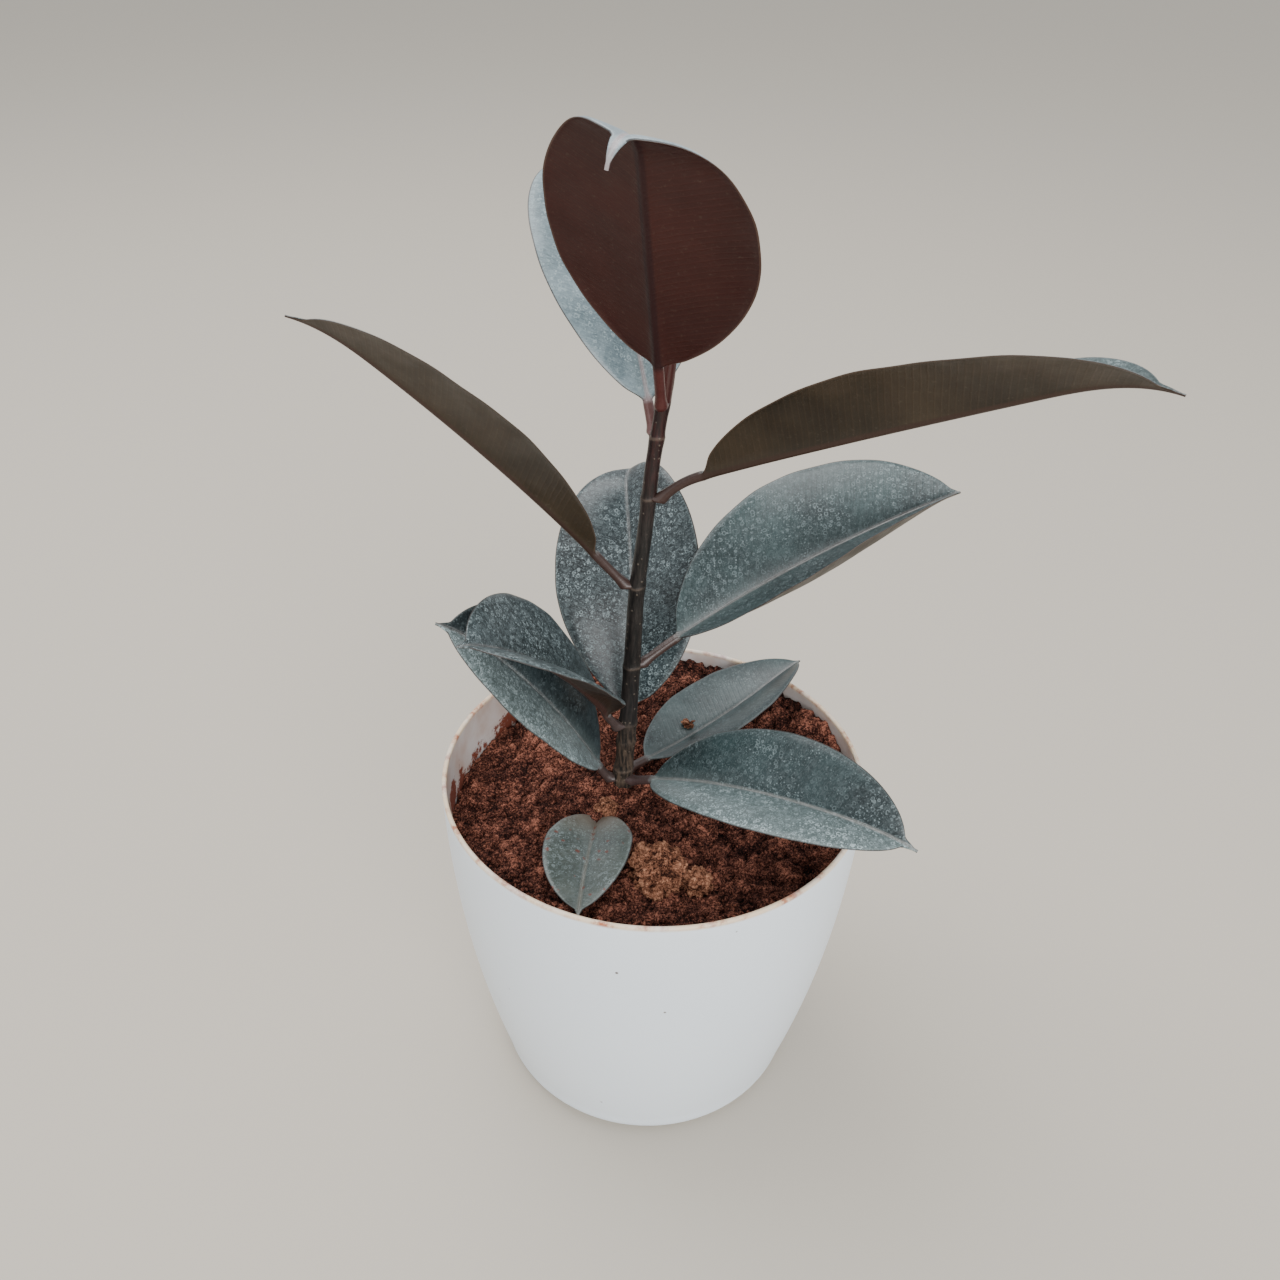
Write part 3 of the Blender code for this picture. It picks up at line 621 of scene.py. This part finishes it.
# dark and light: the upper side's range of colour. under: the under side's. rib, underRib and stalk: the
# midrib above and below, and the petiole. ribShows, streaks and dust: how strongly each is seen.
leafLooks = {
    "plain": dict(dark=(19, 32, 33), light=(50, 68, 68), streaks=0.16, ribShows=0.45, dust=0.80,
                  rib=(116, 108, 104), stalk=(50, 33, 28),
                  under=((38, 31, 22), (54, 44, 32)), underRib=(52, 36, 28)),
    "dusty": dict(dark=(14, 26, 28), light=(42, 60, 61), streaks=0.20, ribShows=0.60, dust=1.0,
                  rib=(130, 132, 128), stalk=(64, 48, 46),
                  under=((36, 29, 20), (48, 39, 28)), underRib=(52, 36, 28)),
    "dark": dict(dark=(12, 17, 19), light=(40, 51, 54), streaks=0.40, ribShows=0.40, dust=1.0,
                 rib=(98, 98, 97), stalk=(56, 43, 40),
                 under=((36, 28, 22), (56, 44, 37)), underRib=(60, 40, 35)),
    # silver: a pale blue-grey upper side, a painted reflection of the bright sky, with dust over it
    "skySheen": dict(dark=(76, 92, 98), light=(138, 154, 160), streaks=0.20, ribShows=0.60, dust=1.1,
                   rib=(150, 124, 122), stalk=(84, 52, 48),
                   under=((36, 29, 20), (48, 39, 28)), underRib=(70, 38, 35)),
    "young": dict(dark=(120, 132, 138), light=(176, 186, 190), streaks=0.05, ribShows=0.60, dust=0.35,
                  rib=(168, 140, 138), stalk=(60, 20, 17),
                  under=((44, 13, 9), (52, 18, 13)), underRib=(34, 2, 5)),
    "muddy": dict(dark=(60, 67, 62), light=(102, 108, 101), streaks=0.12, ribShows=0.45, dust=0.70,
                  rib=(118, 112, 96), stalk=(50, 33, 28),
                  under=((36, 29, 20), (48, 39, 28)), underRib=(60, 38, 32), speck=(112, 52, 38),
                  soiled=(120, 92, 70)),
}
# pale: the lighter tone painted on a half that faces the sky, which is painted light
leafTints = {"dust": (168, 184, 186), "dustAndLitHalf": (128, 144, 142), "besideRib": (126, 140, 138),
             "ribStreak": (182, 178, 175), "rim": (140, 152, 150), "edge": (40, 28, 26),
             "underFleck": (124, 116, 100), "underEdge": (98, 78, 66), "stalkSpread": 24}
veinForm = {"slant": 0.42, "spacingMm": 1.3, "wobbleMm": 1.6}
dustForm = {"patchScale": 42, "veilScale": 420, "veil": 0.16, "ringScale": 400, "ring": 0.52, "dotScale": 720,
            "dot": 0.78, "fineScale": 1300, "fine": 0.42, "warp": (650, 0.0012)}


def alongVeins(made):                    # distance along the leaf, measured back down the side veins
    return made.calc("SUBTRACT", made.read("alongMm"), made.times(made.read("ribMm"), veinForm["slant"]))


def veins(made):
    # fine side veins that leave the midrib and lean towards the tip: 1 on a vein, 0 between
    along = alongVeins(made)
    wobble = made.times(made.noise(55, 3), veinForm["wobbleMm"])
    beat = made.calc("PINGPONG", made.plus(along, wobble), veinForm["spacingMm"])
    return made.fade(beat, veinForm["spacingMm"] * 0.45, 0.0)


def strokes(made):                       # short strokes that run from the midrib to the margin
    along = alongVeins(made)
    across = made.times(made.read("ribMm"), 0.24)
    flat = made.node("ShaderNodeCombineXYZ", {0: made.times(along, 1.5), 1: across})
    return made.noise(1.0, 4, 0.65, at=flat.outputs[0])


def dustOn(made, amount):
    # a thin veil, fine flecks and small dried water rings, denser in patches
    patches = made.fade(made.noise(dustForm["patchScale"], 4, 0.62), 0.36, 0.64, 0.35, 1.0)
    loose = made.warp(*dustForm["warp"])
    veil = made.times(made.fade(made.noise(dustForm["veilScale"], 5, 0.75), 0.44, 0.66), dustForm["veil"])
    near, pick = made.cells(dustForm["ringScale"], at=loose)
    rings = made.times(made.ringAt(near, 0.32, 0.11, 0.04), made.fade(pick, 0.42, 0.50))
    near, pick = made.cells(dustForm["dotScale"], at=loose)
    dots = made.times(made.fade(near, 0.36, 0.18), made.fade(pick, 0.60, 0.66))
    fine = made.fade(made.noise(dustForm["fineScale"], 3, 0.65), 0.54, 0.63)
    marks = made.calc("MAXIMUM", made.times(rings, dustForm["ring"]), made.times(dots, dustForm["dot"]))
    marks = made.calc("MAXIMUM", marks, made.times(fine, dustForm["fine"]))
    return made.times(made.calc("MAXIMUM", veil, made.times(marks, patches)), amount)


def stalkTone(made, stalk):
    lighter = [c + leafTints["stalkSpread"] for c in stalk]
    return made.mix(made.noise(240, 4, 0.6), tint(*stalk), tint(*lighter))


def upperFinish(name, look):
    made = Finish(name, 0.40, 0.54)
    rib, rim, along, dustAndLitHalf = made.read("ribMm"), made.read("rimMm"), made.read("alongMm"), made.read("dustAndLitHalf")
    stroke = strokes(made)
    clouds = made.plus(made.noise(26, 5, 0.6), made.times(made.centred(stroke), 0.40))
    body = made.mix(made.fade(clouds, 0.30, 0.72), tint(*look["dark"]), tint(*look["light"]))
    streaks = made.times(made.fade(stroke, 0.54, 0.70), look["streaks"])
    dust = made.calc("MAXIMUM", dustOn(made, look["dust"]), streaks)
    # painted light: a half with a high pale amount carries more dust and is also painted paler, as where it
    # faces the sky
    dust = made.calc("MINIMUM", made.times(dust, dustAndLitHalf), 1.0)
    body = made.mix(made.fade(dustAndLitHalf, 0.8, 2.4, 0.0, 0.42), body, tint(*leafTints["dustAndLitHalf"]))
    body = made.mix(dust, body, tint(*leafTints["dust"]))
    # paler along the midrib, with whitish streaks on it
    nearRib = made.times(made.fade(rib, 8.0, 1.0), made.fade(along, 75, 0))
    body = made.mix(made.times(nearRib, 0.22), body, tint(*leafTints["besideRib"]))
    flat = made.node("ShaderNodeCombineXYZ", {0: made.times(rib, 2.6), 1: made.times(along, 0.13)})
    streak = made.noise(1.0, 4, 0.7, at=flat.outputs[0])
    ribTone = made.mix(made.fade(streak, 0.44, 0.62), tint(*look["rib"]), tint(*leafTints["ribStreak"]))
    body = made.mix(made.times(made.fade(rib, 1.6, 0.3), look["ribShows"]), body, ribTone)
    # painted highlight along the rolled rim, with a thin dark red edge
    body = made.mix(made.times(made.fade(rim, 1.3, 0.6), 0.16), body, tint(*leafTints["rim"]))
    body = made.mix(made.times(made.fade(rim, 0.50, 0.22), 0.8), body, tint(*leafTints["edge"]))
    body = made.mix(made.fade(along, 3.0, -1.5), body, stalkTone(made, look["stalk"]))
    if "speck" in look:                  # specks of soil, and a brown tinge near the buried stalk
        near, pick = made.cells(300, at=made.warp(300, 0.003))
        specks = made.times(made.fade(near, 0.36, 0.20), made.fade(pick, 0.80, 0.82))
        body = made.mix(made.times(specks, 0.8), body, tint(*look["speck"]))
        body = made.mix(made.fade(along, 22, 2, 0.0, 0.45), body, tint(*look["soiled"]))
    made.colour(body)
    made.gloss(made.fade(dust, 0.0, 0.8, 0.34, 0.58))
    relief = made.plus(made.times(veins(made), 0.35), made.noise(340, 3))
    made.bump(made.plus(relief, made.times(dust, 0.5)), 0.16, 0.0004)
    return made.material


def underFinish(name, look):
    made = Finish(name, 0.42, 0.30)
    rib, rim, along = made.read("ribMm"), made.read("rimMm"), made.read("alongMm")
    dark, light = look["under"]
    body = made.mix(made.fade(made.noise(24, 5, 0.6), 0.34, 0.66), tint(*dark), tint(*light))
    veinTint = tint(light[0] + 22, light[1] + 14, light[2] + 10)
    body = made.mix(made.times(veins(made), 0.10), body, veinTint)
    flecks = made.fade(made.noise(620, 4, 0.7), 0.58, 0.72)
    body = made.mix(made.times(flecks, 0.10), body, tint(*leafTints["underFleck"]))
    body = made.mix(made.fade(rib, 2.2, 1.0), body, tint(*look["underRib"]))
    body = made.mix(made.times(made.fade(rim, 0.7, 0.3), 0.4), body, tint(*leafTints["underEdge"]))
    body = made.mix(made.fade(along, 2.0, -2.0), body, stalkTone(made, look["stalk"]))
    made.colour(body)
    made.gloss(made.fade(made.noise(90, 3), 0.3, 0.7, 0.38, 0.52))
    made.bump(made.plus(made.times(veins(made), 0.5), made.noise(300, 3)), 0.16, 0.0004)
    return made.material


leafFinishes = {key: (upperFinish("leaf_upper_" + key, look), underFinish("leaf_under_" + key, look))
                for key, look in leafLooks.items()}


def makeLeaf(name, leaf, phase):
    heading = math.radians(leaf["heading"])
    outward = Vector((math.cos(heading), math.sin(heading), 0))
    if "start" in leaf:
        start = Vector(leaf["start"])
        reachIn = leafForm["reachIn"]
    else:
        clear = leaf["stalkRadius"] * math.sin(math.radians(leaf["rise"])) + leafForm["gap"]
        reachIn = stemRadius(leaf["height"]) + clear
        start = stemPoint(leaf["height"]) + reachIn * outward
    stations = leafFrames(leaf, start)
    first = stations[0]
    rooted = [(first[0] - outward * reachIn * pull, first[1], -1.0) for pull in leafForm["rootPulls"]]
    points, ribMm, rimMm, alongMm, dustAndLitHalf = [], [], [], [], []
    for point, axes, share in rooted + stations:
        length = leaf["length"] if share > 0 else leaf["petiole"]
        for offset, fromRib, fromRim, span in leafRing(leaf, axes, share, phase):
            points.append(point + offset)
            ribMm.append(fromRib * 1000 if share >= 0 else 0.0)
            rimMm.append(fromRim * 1000 if 0.01 < share < 1 - leaf["dripTip"] * 0.8 else 9.0)
            alongMm.append(share * length * 1000)
            # each half's dust amount, raised on the half that faces the sky, where it also stands for painted
            # light
            left, right = leaf["dustAndLitHalf"]
            dustAndLitHalf.append(right + (left - right) * smoothStep(span, -0.06, 0.06))
    rows = len(rooted) + len(stations)
    count = len(points) // rows
    upper, under = leafFinishes[leaf["look"]]
    piece = newPiece(name + "_blade", points, tubeFaces(rows, count), [upper, under], [name])
    mesh = piece.data
    for key, values in (("ribMm", ribMm), ("rimMm", rimMm), ("alongMm", alongMm), ("dustAndLitHalf", dustAndLitHalf)):
        setAttribute(mesh, key, values)
    half = count // 2
    for index, face in enumerate(mesh.polygons[2:]):
        face.material_index = 0 if index % count < half else 1
    turnOutwards(mesh)


for order, (name, leaf) in enumerate(leaves.items()):
    makeLeaf(name, {**leafUsual, **leaf}, 0.37 * order)
print(len(leaves), "leaves made")


soilForm = {"level": stemForm["soilLevel"], "leftDip": 0.014, "rearRise": 0.009, "mound": 0.0015,
            "moundWidth": 0.03, "roughness": 0.0022, "gap": 0.0003, "cells": 236, "wander": (300, 0.0012),
            "grains": ((85, 0.0028), (190, 0.0024), (400, 0.0016)), "grainsSunk": 0.62, "wallSteps": 6,
            "bottomSteps": 4, "wallShade": 0.3, "clearOfWall": 0.003}
# (place, width, depth) of the hollows, and of the heaps where the depth is below 0
pits = (((0.024, -0.062), 0.016, 0.0035), ((0.046, -0.046), 0.013, 0.0030), ((-0.052, -0.035), 0.014, 0.0025),
        ((-0.020, -0.082), 0.010, 0.0030), ((0.010, -0.026), 0.012, -0.0020),
        ((-0.046, 0.002), 0.012, -0.0020))


def soilHeight(x, y):                    # low by the left wall, heaped by the stem, and lumpy
    dip = soilForm["leftDip"] * smoothStep(-x / rimRadius, 0.35, 0.95) * smoothStep(y / rimRadius, -0.9, 0.1)
    rise = soilForm["rearRise"] * smoothStep((0.5 * x + 0.87 * y) / rimRadius, 0.15, 0.95)
    fromStem = math.hypot(x - stemOffset(soilForm["level"]), y - stemForm["depth"])
    mound = soilForm["mound"] * bell(fromStem, soilForm["moundWidth"])
    lumps = noise.noise(Vector((x, y, 0)) * 55) + 0.5 * noise.noise(Vector((x, y, 0.3)) * 130)
    sunk = sum(depth * bell(math.hypot(x - at[0], y - at[1]), width) for at, width, depth in pits)
    return soilForm["level"] - dip + rise + mound + soilForm["roughness"] * lumps - sunk


def crumble(spot, sizes):                # rounded grains of several sizes: 0 in the gaps, 1 on the largest
    total = 0.0
    for scale, depth in sizes:
        nearest = noise.voronoi(spot * scale)[0][0]
        total += depth * (1 - min(nearest * 1.35, 1.0) ** 2)
    return total


# dark, middle and light: colours from the gaps to the tops, painted shade down in the gaps and painted
# highlights on the tops. height: how much the relief counts.
# offset: stands in for the relief on loose crumbs, which have none of their own.
earthLooks = {
    "soil": dict(dark=(16, 7, 5), middle=(85, 48, 40), light=(196, 127, 103), height=0.72, offset=0),
    "soil_crumb": dict(dark=(22, 10, 8), middle=(88, 50, 41), light=(206, 134, 108), height=0, offset=0.34),
    "soil_clod": dict(dark=(46, 24, 17), middle=(150, 98, 74), light=(218, 160, 126), height=0.66, offset=0),
}


def earthFinish(name, look):
    made = Finish(name, 0.95, 0.15)
    clouds = made.noise(70, 4, 0.6)
    grain = made.noise(1100, 5, 0.8)
    fine = made.fade(grain, 0.36, 0.64, look["offset"], look["offset"] + 0.55)
    # painted shade and highlight: low in the relief is painted darker, high in it is painted lighter
    level = made.plus(made.times(made.read("raised"), look["height"]), fine)
    level = made.plus(level, made.times(made.centred(clouds), 0.40))
    stops = zip((0.34, 0.66, 1.0), tints((look["dark"], look["middle"], look["light"])))
    made.colour(made.ramp(level, list(stops)))
    made.bump(made.plus(grain, made.noise(2200, 3, 0.7)), 0.8, 0.0009)
    return made.material


earthFinishes = {name: earthFinish(name, look) for name, look in earthLooks.items()}


def makeSoil():
    # an even grid wrapped on to a disc, raised into crumbs, with a wall and a bottom inside the pot
    n = soilForm["cells"]
    edge = potInnerRadius(soilForm["level"]) - soilForm["gap"]
    full = sum(depth for scale, depth in soilForm["grains"])
    wanderScale, wander = soilForm["wander"]
    points, raised = [], []
    for row in range(n + 1):
        for column in range(n + 1):
            a, b = 2 * column / n - 1, 2 * row / n - 1
            if a == 0 and b == 0:
                radius, angle = 0.0, 0.0
            elif abs(a) > abs(b):
                radius, angle = a, math.pi / 4 * b / a
            else:
                radius, angle = b, math.pi / 2 - math.pi / 4 * a / b
            x, y = edge * radius * math.cos(angle), edge * radius * math.sin(angle)
            spot = Vector((x, y, 0.0))
            drift = noise.noise(spot * wanderScale), noise.noise(spot * wanderScale + Vector((7, 3, 1)))
            spot += wander * Vector((*drift, 0))
            grains = crumble(spot, soilForm["grains"])
            z = soilHeight(x, y) + grains - full * soilForm["grainsSunk"]
            shrink = (potInnerRadius(z) - soilForm["gap"]) / edge
            points.append(Vector((x * shrink, y * shrink, z)))
            raised.append(grains / full)
    faces = [(r * (n + 1) + c, r * (n + 1) + c + 1, (r + 1) * (n + 1) + c + 1, (r + 1) * (n + 1) + c)
             for r in range(n) for c in range(n)]
    scatterCrumbs(points, faces)
    border = [c for c in range(n + 1)] + [r * (n + 1) + n for r in range(1, n + 1)]
    border += [n * (n + 1) + c for c in range(n - 1, -1, -1)] + [r * (n + 1) for r in range(n - 1, 0, -1)]
    fillet = potForm["footFillet"] - potForm["wall"]
    base = potForm["floor"] + soilForm["gap"] + fillet
    wallTop = soilForm["level"] - soilForm["leftDip"] - 4 * soilForm["roughness"]
    heights = evenSteps(wallTop, base, soilForm["wallSteps"])
    rings = [(potInnerRadius(z) - soilForm["gap"], z) for z in heights]
    corner = (potInnerRadius(potForm["footFillet"]) - fillet, base)
    rings += arc(corner, fillet - soilForm["gap"], -20, -90, soilForm["bottomSteps"])
    previous = border
    for radius, z in rings:
        first = len(points)
        for index in border:
            way = Vector((points[index].x, points[index].y, 0)).normalized()
            points.append(way * radius + Vector((0, 0, z)))
            raised.append(soilForm["wallShade"])
        current = list(range(first, first + len(border)))
        for i in range(len(border)):
            j = (i + 1) % len(border)
            faces.append((previous[i], current[i], current[j], previous[j]))
        previous = current
    faces.append(tuple(previous))
    soil = newPiece("soil_bed", points, faces, [earthFinishes["soil"]], ["soil"])
    turnOutwards(soil.data)
    setAttribute(soil.data, "raised", raised)


crumbForm = {"Per square metre": 230000.0, "Smallest": 0.0005, "Largest": 0.0020, "Sink": 0.0003, "Seed": 5}
# chance is raised to the rarity, so that large crumbs are few; chip: how far noise dents them
crumbShape = {"flattest": (0.75, 0.7, 0.55), "fullest": (1.25, 1.2, 1.0), "rarity": 3.0, "chipScale": 900.0,
              "chip": 0.0014}


def crumbTree():
    # points spread over the soil, a rough grain of a random size and turn on each
    tree = bpy.data.node_groups.new("soil_crumb_scatter", "GeometryNodeTree")
    tree.interface.new_socket("Soil", in_out="INPUT", socket_type="NodeSocketGeometry")
    for name, value in crumbForm.items():
        kind = "NodeSocketInt" if name == "Seed" else "NodeSocketFloat"
        tree.interface.new_socket(name, in_out="INPUT", socket_type=kind)
    tree.interface.new_socket("Crumbs", in_out="OUTPUT", socket_type="NodeSocketGeometry")

    def add(kind, inputs, **settings):
        made = tree.nodes.new(kind)
        for key, value in settings.items():
            setattr(made, key, value)
        for key, value in inputs.items():
            if isinstance(value, bpy.types.NodeSocket):
                tree.links.new(value, made.inputs[key])
            else:
                made.inputs[key].default_value = value
        return made

    def scaled(vector, factor):
        return add("ShaderNodeVectorMath", {0: vector, "Scale": factor}, operation="SCALE").outputs[0]

    given = tree.nodes.new("NodeGroupInput").outputs
    spread = add("GeometryNodeDistributePointsOnFaces",
                 {"Mesh": given["Soil"], "Density": given["Per square metre"], "Seed": given["Seed"]})
    grain = add("GeometryNodeMeshIcoSphere", {"Radius": 1.0, "Subdivisions": 1})
    index = add("GeometryNodeInputIndex", {}).outputs[0]
    chance = add("FunctionNodeRandomValue", {2: 0.0, 3: 1.0, "ID": index, "Seed": given["Seed"]},
                 data_type="FLOAT").outputs[1]
    rare = add("ShaderNodeMath", {0: chance, 1: crumbShape["rarity"]}, operation="POWER").outputs[0]
    size = add("ShaderNodeMapRange", {"Value": rare, "To Min": given["Smallest"], "To Max": given["Largest"]})
    shape = add("FunctionNodeRandomValue", {0: crumbShape["flattest"], 1: crumbShape["fullest"]},
                data_type="FLOAT_VECTOR")
    sizes = scaled(shape.outputs[0], size.outputs[0])
    turned = add("FunctionNodeRandomValue", {0: (0, 0, 0), 1: (6.28, 6.28, 6.28)}, data_type="FLOAT_VECTOR")
    placed = add("GeometryNodeInstanceOnPoints",
                 {"Points": spread.outputs["Points"], "Instance": grain.outputs[0],
                  "Rotation": turned.outputs[0], "Scale": sizes})
    joined = add("GeometryNodeRealizeInstances", {0: placed.outputs[0]})
    place = add("GeometryNodeInputPosition", {}).outputs[0]
    chips = add("ShaderNodeTexNoise", {"Vector": place, "Scale": crumbShape["chipScale"], "Detail": 1.0})
    push = add("ShaderNodeVectorMath", {0: chips.outputs["Color"], 1: (0.5, 0.5, 0.5)}, operation="SUBTRACT")
    push = scaled(push.outputs[0], crumbShape["chip"])
    sunk = add("ShaderNodeMath", {0: given["Sink"], 1: -1.0}, operation="MULTIPLY").outputs[0]
    down = add("ShaderNodeCombineXYZ", {2: sunk}).outputs[0]
    push = add("ShaderNodeVectorMath", {0: push, 1: down}, operation="ADD").outputs[0]
    moved = add("GeometryNodeSetPosition", {"Geometry": joined.outputs[0], "Offset": push})
    smooth = add("GeometryNodeSetShadeSmooth", {"Geometry": moved.outputs[0]})
    painted = add("GeometryNodeSetMaterial",
                  {"Geometry": smooth.outputs[0], "Material": earthFinishes["soil_crumb"]})
    result = tree.nodes.new("NodeGroupOutput")
    tree.links.new(painted.outputs[0], result.inputs[0])
    return tree


def scatterCrumbs(points, faces):
    bed = bpy.data.meshes.new("soil_top")
    limit = potInnerRadius(soilForm["level"]) - soilForm["clearOfWall"]
    inside = [face for face in faces if max(math.hypot(points[i].x, points[i].y) for i in face) < limit]
    bed.from_pydata([tuple(p) for p in points], [], inside)
    holder = bpy.data.objects.new("soil_top", bed)
    bpy.context.scene.collection.objects.link(holder)
    scatter = holder.modifiers.new("crumbs", "NODES")
    scatter.node_group = crumbTree()
    for item in scatter.node_group.interface.items_tree:
        if item.in_out == "INPUT" and item.name in crumbForm:
            scatter[item.identifier] = crumbForm[item.name]
    graph = bpy.context.evaluated_depsgraph_get()
    mesh = bpy.data.meshes.new_from_object(holder.evaluated_get(graph), depsgraph=graph)
    mesh.name = "soil_crumbs"
    bpy.data.objects.remove(holder)
    crumbs = bpy.data.objects.new("soil_crumbs", mesh)
    bpy.context.scene.collection.objects.link(crumbs)
    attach(crumbs, "root")
    print(len(mesh.polygons), "crumb faces")


makeSoil()


clods = {   # name: (place on the soil, size, seed, fineness of its mesh)
    "soil_clod_large": ((0.0018, -0.0561), (0.0136, 0.0118, 0.0100), 3, 6),
    "soil_clod_small": ((0.0200, -0.0585), (0.0058, 0.0062, 0.0056), 7, 5),
    "soil_clod_stem": ((-0.0218, -0.0160), (0.0055, 0.0050, 0.0042), 11, 4),
}
lumpForm = {"sunkShare": 0.35, "broad": (1.7, 0.34), "small": (3.9, 0.16), "grainsSunk": 0.5,
            "grains": ((170, 0.0018), (340, 0.0016), (700, 0.0010))}


def makeLump(name, centre, size, seed, detail, nodes):
    work = bmesh.new()
    bmesh.ops.create_icosphere(work, subdivisions=detail, radius=1.0)
    full = sum(depth for scale, depth in lumpForm["grains"])
    broadScale, broad = lumpForm["broad"]
    smallScale, small = lumpForm["small"]
    raised = []
    points = []
    for vertex in work.verts:       # broad lumps, then small ones, then grains
        lump = 1 + broad * noise.noise(vertex.co * broadScale + Vector((seed, 0, 0)))
        lump += small * noise.noise(vertex.co * smallScale + Vector((0, seed, 0)))
        spot = Vector([lump * side * width for side, width in zip(vertex.co, size)])
        grains = crumble(spot + Vector((seed, seed, 0)) * 0.1, lumpForm["grains"])
        points.append(centre + spot + vertex.co * (grains - full * lumpForm["grainsSunk"]))
        raised.append(grains / full)
    faces = [tuple(v.index for v in face.verts) for face in work.faces]
    work.free()
    clod = newPiece(name + "_lump", points, faces, [earthFinishes["soil_clod"]], nodes)
    turnOutwards(clod.data)
    setAttribute(clod.data, "raised", raised)


for name, (place, size, seed, detail) in clods.items():
    centre = Vector((*place, soilHeight(*place) + size[2] * (1 - 2 * lumpForm["sunkShare"])))
    makeLump(name, centre, size, seed, detail, [name])

leafCrumb = {"centre": Vector((0.0178, 0.0378, 0.1766)), "size": (0.0027, 0.0021, 0.0017), "seed": 19,
             "detail": 4}
makeLump("leaf_crumb", **leafCrumb, nodes=[])
print("soil, crumbs and clods made")
